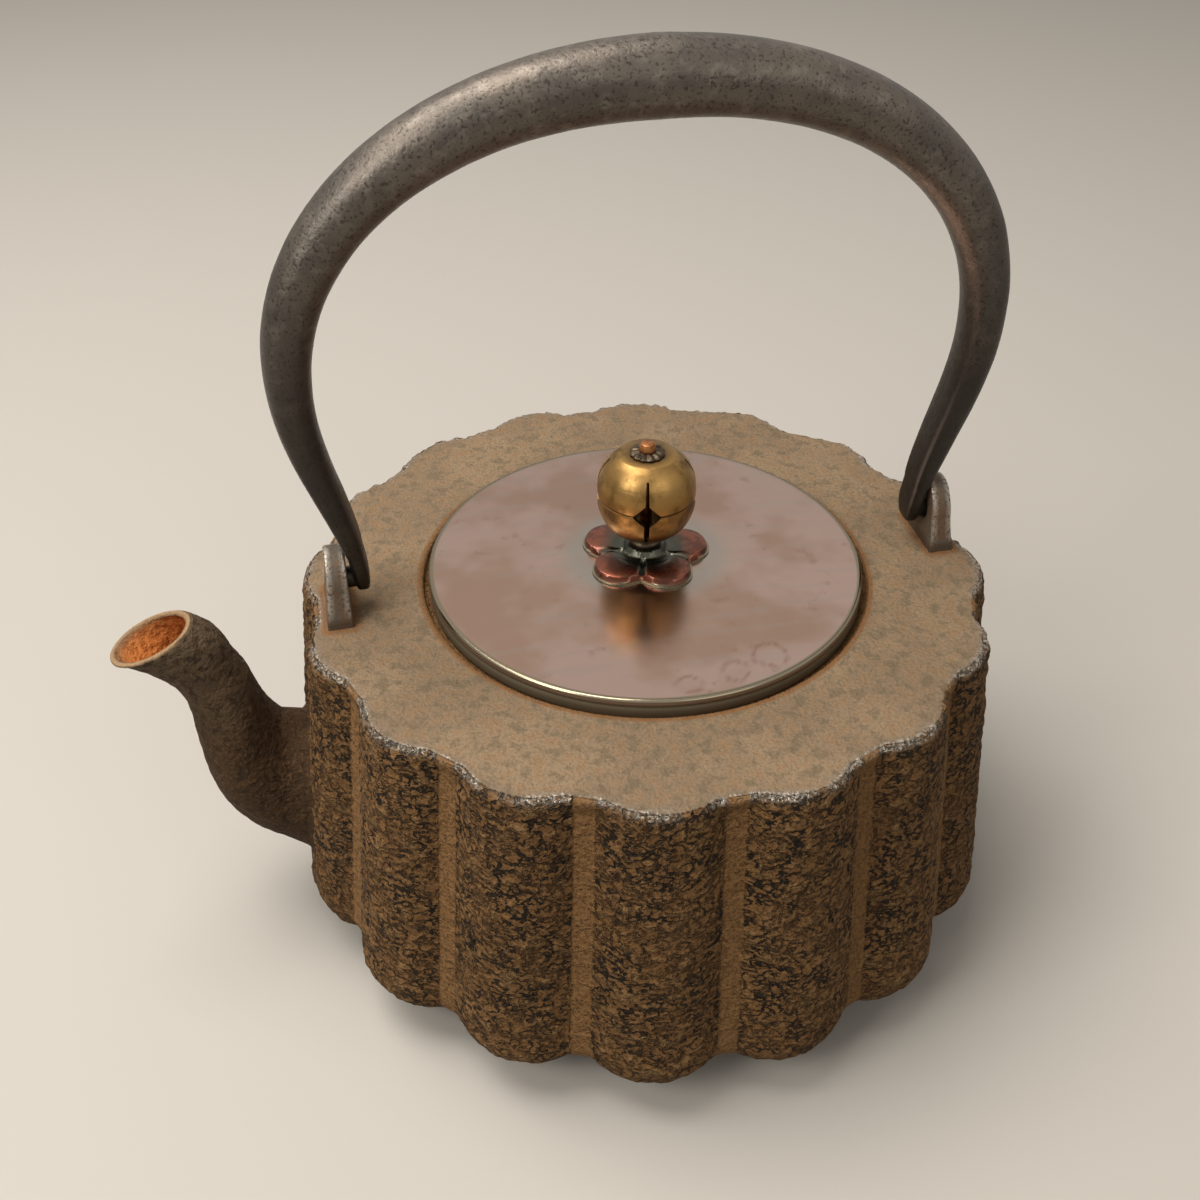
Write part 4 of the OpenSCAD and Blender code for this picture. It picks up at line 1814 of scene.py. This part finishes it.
@dataclass
class PlumWasher:
    """Five-petalled copper washer under the knob."""

    base_z: float = 92.4
    petals: int = 5
    petal_r: float = 6.2
    offset: float = 9.3
    rim: float = 1.0
    crown: float = 1.2
    boss_r: float = 4.3
    height: float = 3.2
    turns: int = 240
    rings: int = 40

    def off_petal(self, turn: np.ndarray) -> np.ndarray:
        """Angle from the middle of the nearest petal, in radians."""
        pitch = 2 * math.pi / self.petals
        return np.mod(turn + pitch / 2, pitch) - pitch / 2

    def reach(self, turn: np.ndarray) -> np.ndarray:
        """The flower's outline.

        Args:
            turn: Angles about Z in radians.

        Returns:
            Its radius at each angle.
        """
        off = self.off_petal(turn)
        wide = self.offset * np.cos(off) + np.sqrt(
            np.maximum(self.petal_r**2 - (self.offset * np.sin(off)) ** 2, 0.01)
        )
        return soft_max(wide, np.full_like(wide, self.offset + 2.2), 2.0) - 0.25

    def build(self) -> None:
        """Makes, dresses and places the washer."""
        turn = angles(self.turns)
        reach = self.reach(turn)
        off = self.off_petal(turn)
        crease = np.exp(-(((math.pi / self.petals - np.abs(off)) * self.offset / 0.7) ** 2))
        rows, hollow, edge = [], [], []
        inner = 1.5
        for i in range(self.rings + 1):
            u = (i / self.rings) ** 0.7
            r = inner + (reach - inner) * u
            inset = reach - r
            pillow = self.crown * np.sqrt(
                np.clip(1 - (1 - np.clip(inset / 4.5, 0, 1)) ** 2.0, 0, 1)
            )
            z = 0.35 + (self.rim - 0.35 + pillow) * smooth(0.55, 0.85, inset)
            z = z - 0.12 * np.exp(-(((inset - 0.5) / 0.12) ** 2))
            z = z - 0.55 * np.exp(-(((r - 6.2) / 1.5) ** 2))
            z = np.maximum(z - 0.9 * crease * smooth(3.8, 6.5, r) * smooth(0.1, 1.2, inset), 0.4)
            z = z + smooth(self.boss_r + 0.8, self.boss_r - 0.3, r) * (
                self.height - self.rim - self.crown + 0.55
            )
            z = np.minimum(z, self.height)
            rows.append(hoop(turn, r, self.base_z + z))
            hollow.append(
                np.clip(smooth(11.5, 6.8, r) + crease * smooth(0.5, 2.0, inset) * 0.9, 0, 1)
            )
            edge.append(0.8 * smooth(0.55, 0.40, inset))
        for share, z in ((1.0, 0.3), (0.99, 0.0), (0.15, 0.0)):
            r = inner + (reach - inner) * share if share > 0.5 else inner
            rows.append(hoop(turn, r, self.base_z + z))
            hollow.append(np.zeros_like(turn))
            edge.append(np.ones_like(turn))
        faces = grid_faces(len(rows), self.turns, closed=True)[:, ::-1]
        obj = make_mesh("plum_petals", np.array(rows).reshape(-1, 3), faces,
                        {"hollow": np.array(hollow).ravel(), "edge": np.array(edge).ravel()})
        weld(obj)
        shade_smooth(obj, 50)
        dress(obj, PlumCopper("pressed red copper").material())
        stand_in(obj, Body.LID, ["plum_washer"])


@dataclass
class Knob:
    """The bell knob: collar, two pressed brass shells, a fluted cap washer and its pin."""

    collar_z: float = 95.6
    collar_h: float = 3.8
    collar_r: float = 3.0
    ring_r: float = 3.6
    gap: float = 0.1
    radius: float = 11.15
    height: float = 19.6
    barrel: float = 0.85
    thick: float = 1.1
    slits: int = 4
    first_slit: float = -103.0
    diamond: float = 4.6
    upper_slit: float = 0.9
    lower_slit: float = 1.2
    washer_r: float = 4.0
    washer_t: float = 1.0
    pin_r: float = 1.4
    head_r: float = 1.9
    head_h: float = 1.7
    hole_r: float = 1.48
    lid_under_z: float = 88.9
    under_r: float = 5.0
    under_t: float = 1.0

    @property
    def low_z(self) -> float:
        """Height of the knob's lower flat."""
        return self.collar_z + self.collar_h + self.gap

    @property
    def mid_z(self) -> float:
        """Height of the knob's seam."""
        return self.low_z + self.height / 2

    def shell(self, name: str, up: int) -> bpy.types.Object:
        """One half of the bell, with its slits and half diamonds cut through.

        Args:
            name: Name of the piece.
            up: 1 for the upper half and -1 for the lower.

        Returns:
            The shell, not yet dressed.
        """
        steps = 40
        high = math.asin((self.height / 2 / self.radius) ** (1 / self.barrel))
        flat = self.radius * math.cos(high) ** self.barrel
        outline: list[tuple[float, float]] = []
        for i in range(steps + 1):
            a = 0.012 + (high - 0.012) * i / steps
            outline.append(
                (self.radius * math.cos(a) ** self.barrel, self.radius * math.sin(a) ** self.barrel)
            )
        outline[0] = (self.radius - 0.28, 0.04)
        outline.insert(1, (self.radius - 0.06, 0.20))
        outline.append((flat * 0.5, self.height / 2 - 0.02))
        outline.append((self.hole_r, self.height / 2 - 0.05))
        inner_r = self.radius - self.thick
        inner_high = math.acos(min(3.4 / inner_r, 1.0))
        outline.append((self.hole_r, self.height / 2 - self.thick))
        for i in range(17):
            a = inner_high * (1 - i / 16)
            outline.append(
                (
                    inner_r * math.cos(a),
                    max(min(inner_r * math.sin(a), self.height / 2 - self.thick), 0.04),
                )
            )
        shell = turned(name, [(r, self.mid_z + up * z) for r, z in outline], 192)
        carve(shell, [self.cutter(i, up) for i in range(self.slits)])
        bevel = shell.modifiers.new("edge", "BEVEL")
        bevel.width = 0.09 * MM
        bevel.segments = 2
        bevel.limit_method = "ANGLE"
        bevel.angle_limit = math.radians(50)
        apply_modifiers(shell)
        shade_smooth(shell, 40)
        self.mark_hollows(shell)
        return shell

    def cutter(self, index: int, up: int) -> bpy.types.Object:
        """A prism whose outline is one slit and half a diamond.

        Args:
            index: Number of the slit round the knob.
            up: 1 for the upper half and -1 for the lower.

        Returns:
            The cutter.
        """
        d = self.diamond / math.sqrt(2)
        if up > 0:
            wide, slim, far = ((1.0, 0.7, 0.78), (1.2, 1.1, 0.84))[index > 0]
            half, narrow = self.upper_slit / 2 * wide, self.upper_slit / 2 * slim
            end = self.height / 2 * far
        else:
            half, narrow, end = self.lower_slit / 2, self.lower_slit / 2, self.height / 2 * 0.80
        side = [(d, -0.2), (d, 0.0), (half, d - half), (narrow, end)]
        outline = side + [(0.0, end + 0.3)] + [(-y, z) for y, z in reversed(side)]
        turn = math.radians(self.first_slit + 360 / self.slits * index)
        points = []
        for r in (3.2, self.radius + 2):
            for y, z in outline:
                points.append(
                    (
                        r * math.cos(turn) - y * math.sin(turn),
                        r * math.sin(turn) + y * math.cos(turn),
                        self.mid_z + up * z,
                    )
                )
        n = len(outline)
        faces = [tuple(range(n)), tuple(range(2 * n - 1, n - 1, -1))]
        faces += [(k, n + k, n + (k + 1) % n, (k + 1) % n) for k in range(n)]
        tool = make_mesh("cutter", np.array(points), faces)
        weld(tool)
        return tool

    def mark_hollows(self, shell: bpy.types.Object) -> None:
        """Stores where the brass is dull: inside the shell and close to the seam.

        Args:
            shell: The shell, which gets a layer.
        """
        count = len(shell.data.vertices)
        co = np.zeros(count * 3)
        shell.data.vertices.foreach_get("co", co)
        co = co.reshape(-1, 3) / MM
        out = np.sqrt(co[:, 0] ** 2 + co[:, 1] ** 2 + (co[:, 2] - self.mid_z) ** 2)
        hollow = np.maximum(smooth(self.radius - 0.25, self.radius - 0.5, out),
                            0.75 * smooth(0.32, 0.12, np.abs(co[:, 2] - self.mid_z)))
        layer = shell.data.attributes.new("hollow", "FLOAT", "POINT")
        layer.data.foreach_set("value", hollow.astype(np.float32))

    def collar(self) -> bpy.types.Object:
        """The collar under the knob: two beads round a short neck.

        Returns:
            The piece, not yet dressed.
        """
        z, r, big, h = self.collar_z, self.collar_r, self.ring_r, self.collar_h
        outline = [
            (self.hole_r, z),
            (self.hole_r, z + h),
            (r * 0.8, z + h),
            (r * 0.95, z + h * 0.93),
            (r, z + h * 0.80),
            (r * 0.97, z + h * 0.66),
            (r * 0.86, z + h * 0.56),
            (r * 0.84, z + h * 0.48),
            (r * 0.96, z + h * 0.40),
            (big, z + h * 0.28),
            (big, z + h * 0.12),
            (big * 0.93, z),
        ]
        return turned("knob_neck", outline, 96)

    def cap_washer(self) -> bpy.types.Object:
        """The dark washer on top, scored with radial flutes.

        Returns:
            The piece, not yet dressed.
        """
        turns, flutes = 144, 12
        z0 = self.low_z + self.height
        turn = angles(turns)
        wave = 0.5 + 0.5 * np.cos(flutes * turn)
        rows = []
        for r, z, dip, pull in (
            (self.hole_r, 0.96, 0.0, 0.0),
            (2.0, 0.98, 0.05, 0.0),
            (2.6, 0.98, 0.30, 0.0),
            (3.3, 0.92, 0.38, 0.0),
            (self.washer_r - 0.25, 0.72, 0.32, 0.10),
            (self.washer_r - 0.03, 0.40, 0.1, 0.22),
            (self.washer_r - 0.1, 0.06, 0.0, 0.2),
            (self.washer_r - 0.3, 0.0, 0.0, 0.1),
            (self.hole_r, 0.0, 0.0, 0.0),
        ):
            radius = r - pull * (1 - wave)
            rows.append(hoop(turn, radius, z0 + z * self.washer_t - dip * (1 - wave)))
        faces = grid_faces(len(rows), turns, closed=True)[:, ::-1]
        obj = make_mesh("knob_cap", np.array(rows).reshape(-1, 3), faces)
        weld(obj)
        shade_smooth(obj, 40)
        return obj

    def pin(self) -> bpy.types.Object:
        """The pin: a dressed head on top, a plain shank and a spread tail under the lid.

        Returns:
            The piece, not yet dressed.
        """
        head = self.low_z + self.height + self.washer_t + self.gap
        tail = self.lid_under_z - self.under_t - 0.8
        outline = [
            (0.02, tail),
            (0.02, head + self.head_h),
            (self.head_r * 0.55, head + self.head_h),
            (self.head_r * 0.8, head + self.head_h * 0.88),
            (self.head_r * 0.95, head + self.head_h * 0.5),
            (self.head_r, head),
            (self.pin_r, head - 0.01),
            (self.pin_r, tail + 0.8),
            (self.pin_r + 0.8, tail + 0.79),
            (self.pin_r + 0.7, tail + 0.15),
            (self.pin_r + 0.2, tail),
        ]
        return turned("through_pin", outline, 64)

    def build(self) -> None:
        """Makes, dresses and places every piece of the knob."""
        brass = (
            AgedMetal("turned yellow brass", "#aa8650", "#5f482a", 0.30, 5.0, 0.3, 0.03).material()
        )
        bronze = (
            AgedMetal("blackened bronze", "#5e5142", "#2f2922", 0.38, 1.6, 0.4, 0.03).material()
        )
        copper = AgedMetal("raw copper wire", "#b2794c", "#7a4a2c", 0.36, 1.2, 0.4, 0.03).material()
        under = (
            AgedMetal("flat copper washer", "#8a5b47", "#573a2d", 0.4, 3.0, 0.4, 0.02).material()
        )
        lower, upper = self.shell("bell_lower", -1), self.shell("bell_upper", 1)
        for shell, node in ((lower, "knob_lower_shell"), (upper, "knob_upper_shell")):
            dress(shell, brass)
            stand_in(shell, Body.KNOB, [node])
        cap = self.cap_washer()
        dress(cap, bronze)
        stand_in(cap, Body.KNOB, ["knob_top_washer"])
        neck = self.collar()
        shade_smooth(neck, 60)
        dress(neck, bronze)
        stand_in(neck, Body.LID, ["knob_collar"])
        pin = self.pin()
        shade_smooth(pin, 40)
        dress(pin, copper)
        stand_in(pin, Body.LID, ["knob_pin"])
        z = self.lid_under_z
        plate = turned(
            "under_washer",
            [
                (self.hole_r, z - self.under_t),
                (self.hole_r, z),
                (self.under_r, z),
                (self.under_r, z - self.under_t),
            ],
            96,
            0.15,
        )
        dress(plate, under)
        stand_in(plate, Body.LID, ["pin_under_washer"])


# ---------------------------------------------------------------- the studio


@dataclass
class Studio:
    """Pale floor, soft lamps and the camera."""

    eye: tuple[float, float, float] = (-64.9, -246.7, 273.8)
    look: tuple[float, float, float] = (-10.1, 2.2, 78.55)
    lens: float = 40.5
    sensor: float = 36.0
    roll: float = 0.164
    floor_size: float = 6.0
    room: str = "#e9e6e1"
    fill: float = 0.30
    backdrop: float = 0.95
    horizon: float = 0.55
    paper: StudioPaper = field(default_factory=lambda: StudioPaper("pale backdrop paper"))

    def floor(self) -> None:
        """Lays the floor."""
        half = self.floor_size / 2 / MM
        obj = make_mesh(
            "floor",
            np.array(
                [(-half, -half, -0.1), (half, -half, -0.1), (half, half, -0.1), (-half, half, -0.1)]
            ),
            [(0, 1, 2, 3)],
        )
        dress(obj, self.paper.material())

    def lamp(
        self,
        name: str,
        place: Sequence[float],
        aim: Sequence[float],
        size: float,
        power: float,
        tone: str,
    ) -> None:
        """Hangs a square soft box.

        Args:
            name: Name of the lamp.
            place: Where it hangs, in metres.
            aim: Where it points, in metres.
            size: Side of the square, in metres.
            power: Watts.
            tone: Hex colour of its light.
        """
        data = bpy.data.lights.new(name, "AREA")
        data.shape = "SQUARE"
        data.size = size
        data.energy = power
        data.color = linear(tone)[:3]
        obj = bpy.data.objects.new(name, data)
        obj.location = place
        obj.rotation_euler = (Vector(aim) - Vector(place)).to_track_quat("-Z", "Y").to_euler()
        bpy.context.scene.collection.objects.link(obj)

    def camera(self) -> None:
        """Sets up the camera."""
        data = bpy.data.cameras.new("camera")
        data.lens = self.lens
        data.sensor_width = self.sensor
        data.clip_start = 0.01
        obj = bpy.data.objects.new("camera", data)
        eye, look = Vector(self.eye) * MM, Vector(self.look) * MM
        turn = (look - eye).to_track_quat("-Z", "Y").to_matrix().to_4x4()
        obj.matrix_world = Matrix.Translation(eye) @ turn @ Matrix.Rotation(
            math.radians(self.roll), 4, "Z"
        )
        bpy.context.scene.collection.objects.link(obj)
        bpy.context.scene.camera = obj

    def world(self) -> None:
        """Fills the room with soft pale light that is stronger overhead."""
        world = bpy.data.worlds.new("soft room")
        world.use_nodes = True
        nodes = NodeTree(world.node_tree)
        up = nodes.add(Kind.UP, nodes.add(Kind.DIRECTION))
        grade = nodes.add(Kind.GRADE, up, 0.0, 0.6, self.horizon, 1.0)
        level = nodes.add(Kind.GRADE, nodes.seen(), 0.0, 1.0, self.fill, self.backdrop)
        back = nodes.tree.nodes["Background"].inputs
        nodes.feed(back["Color"], self.room)
        nodes.feed(back["Strength"], nodes.add(Kind.TIMES, level, grade, use_clamp=False))
        bpy.context.scene.world = world

    def build(self) -> None:
        """Sets up everything that isn't the kettle."""
        bpy.context.scene.view_settings.view_transform = "Standard"
        self.floor()
        self.camera()
        self.world()
        self.lamp("overhead", (-0.35, 0.15, 1.1), (0, 0, 0.05), 0.7, 10.5, "#fffaf4")
        self.lamp("front fill", (0.5, -1.1, 0.9), (0, 0, 0.05), 0.8, 2.0, "#fffaf4")
        self.lamp("key", (-0.62, -0.33, 0.63), (0, 0, 0.12), 0.36, 3.0, "#fffdf8")
        LOG.info("studio set")


def main() -> None:
    """Builds the kettle and the studio."""
    logging.basicConfig(level=logging.INFO, format="%(name)s: %(message)s")
    Studio().build()
    vessel = KettleBody()
    vessel.build()
    Spout(vessel).build()
    iron = LugIron("rubbed cast iron lugs").material()
    for side in (-1, 1):
        Lug(side).build(iron)
    Bail().build()
    Lid().build()
    PlumWasher().build()
    Knob().build()


if __name__ == "__main__":
    main()
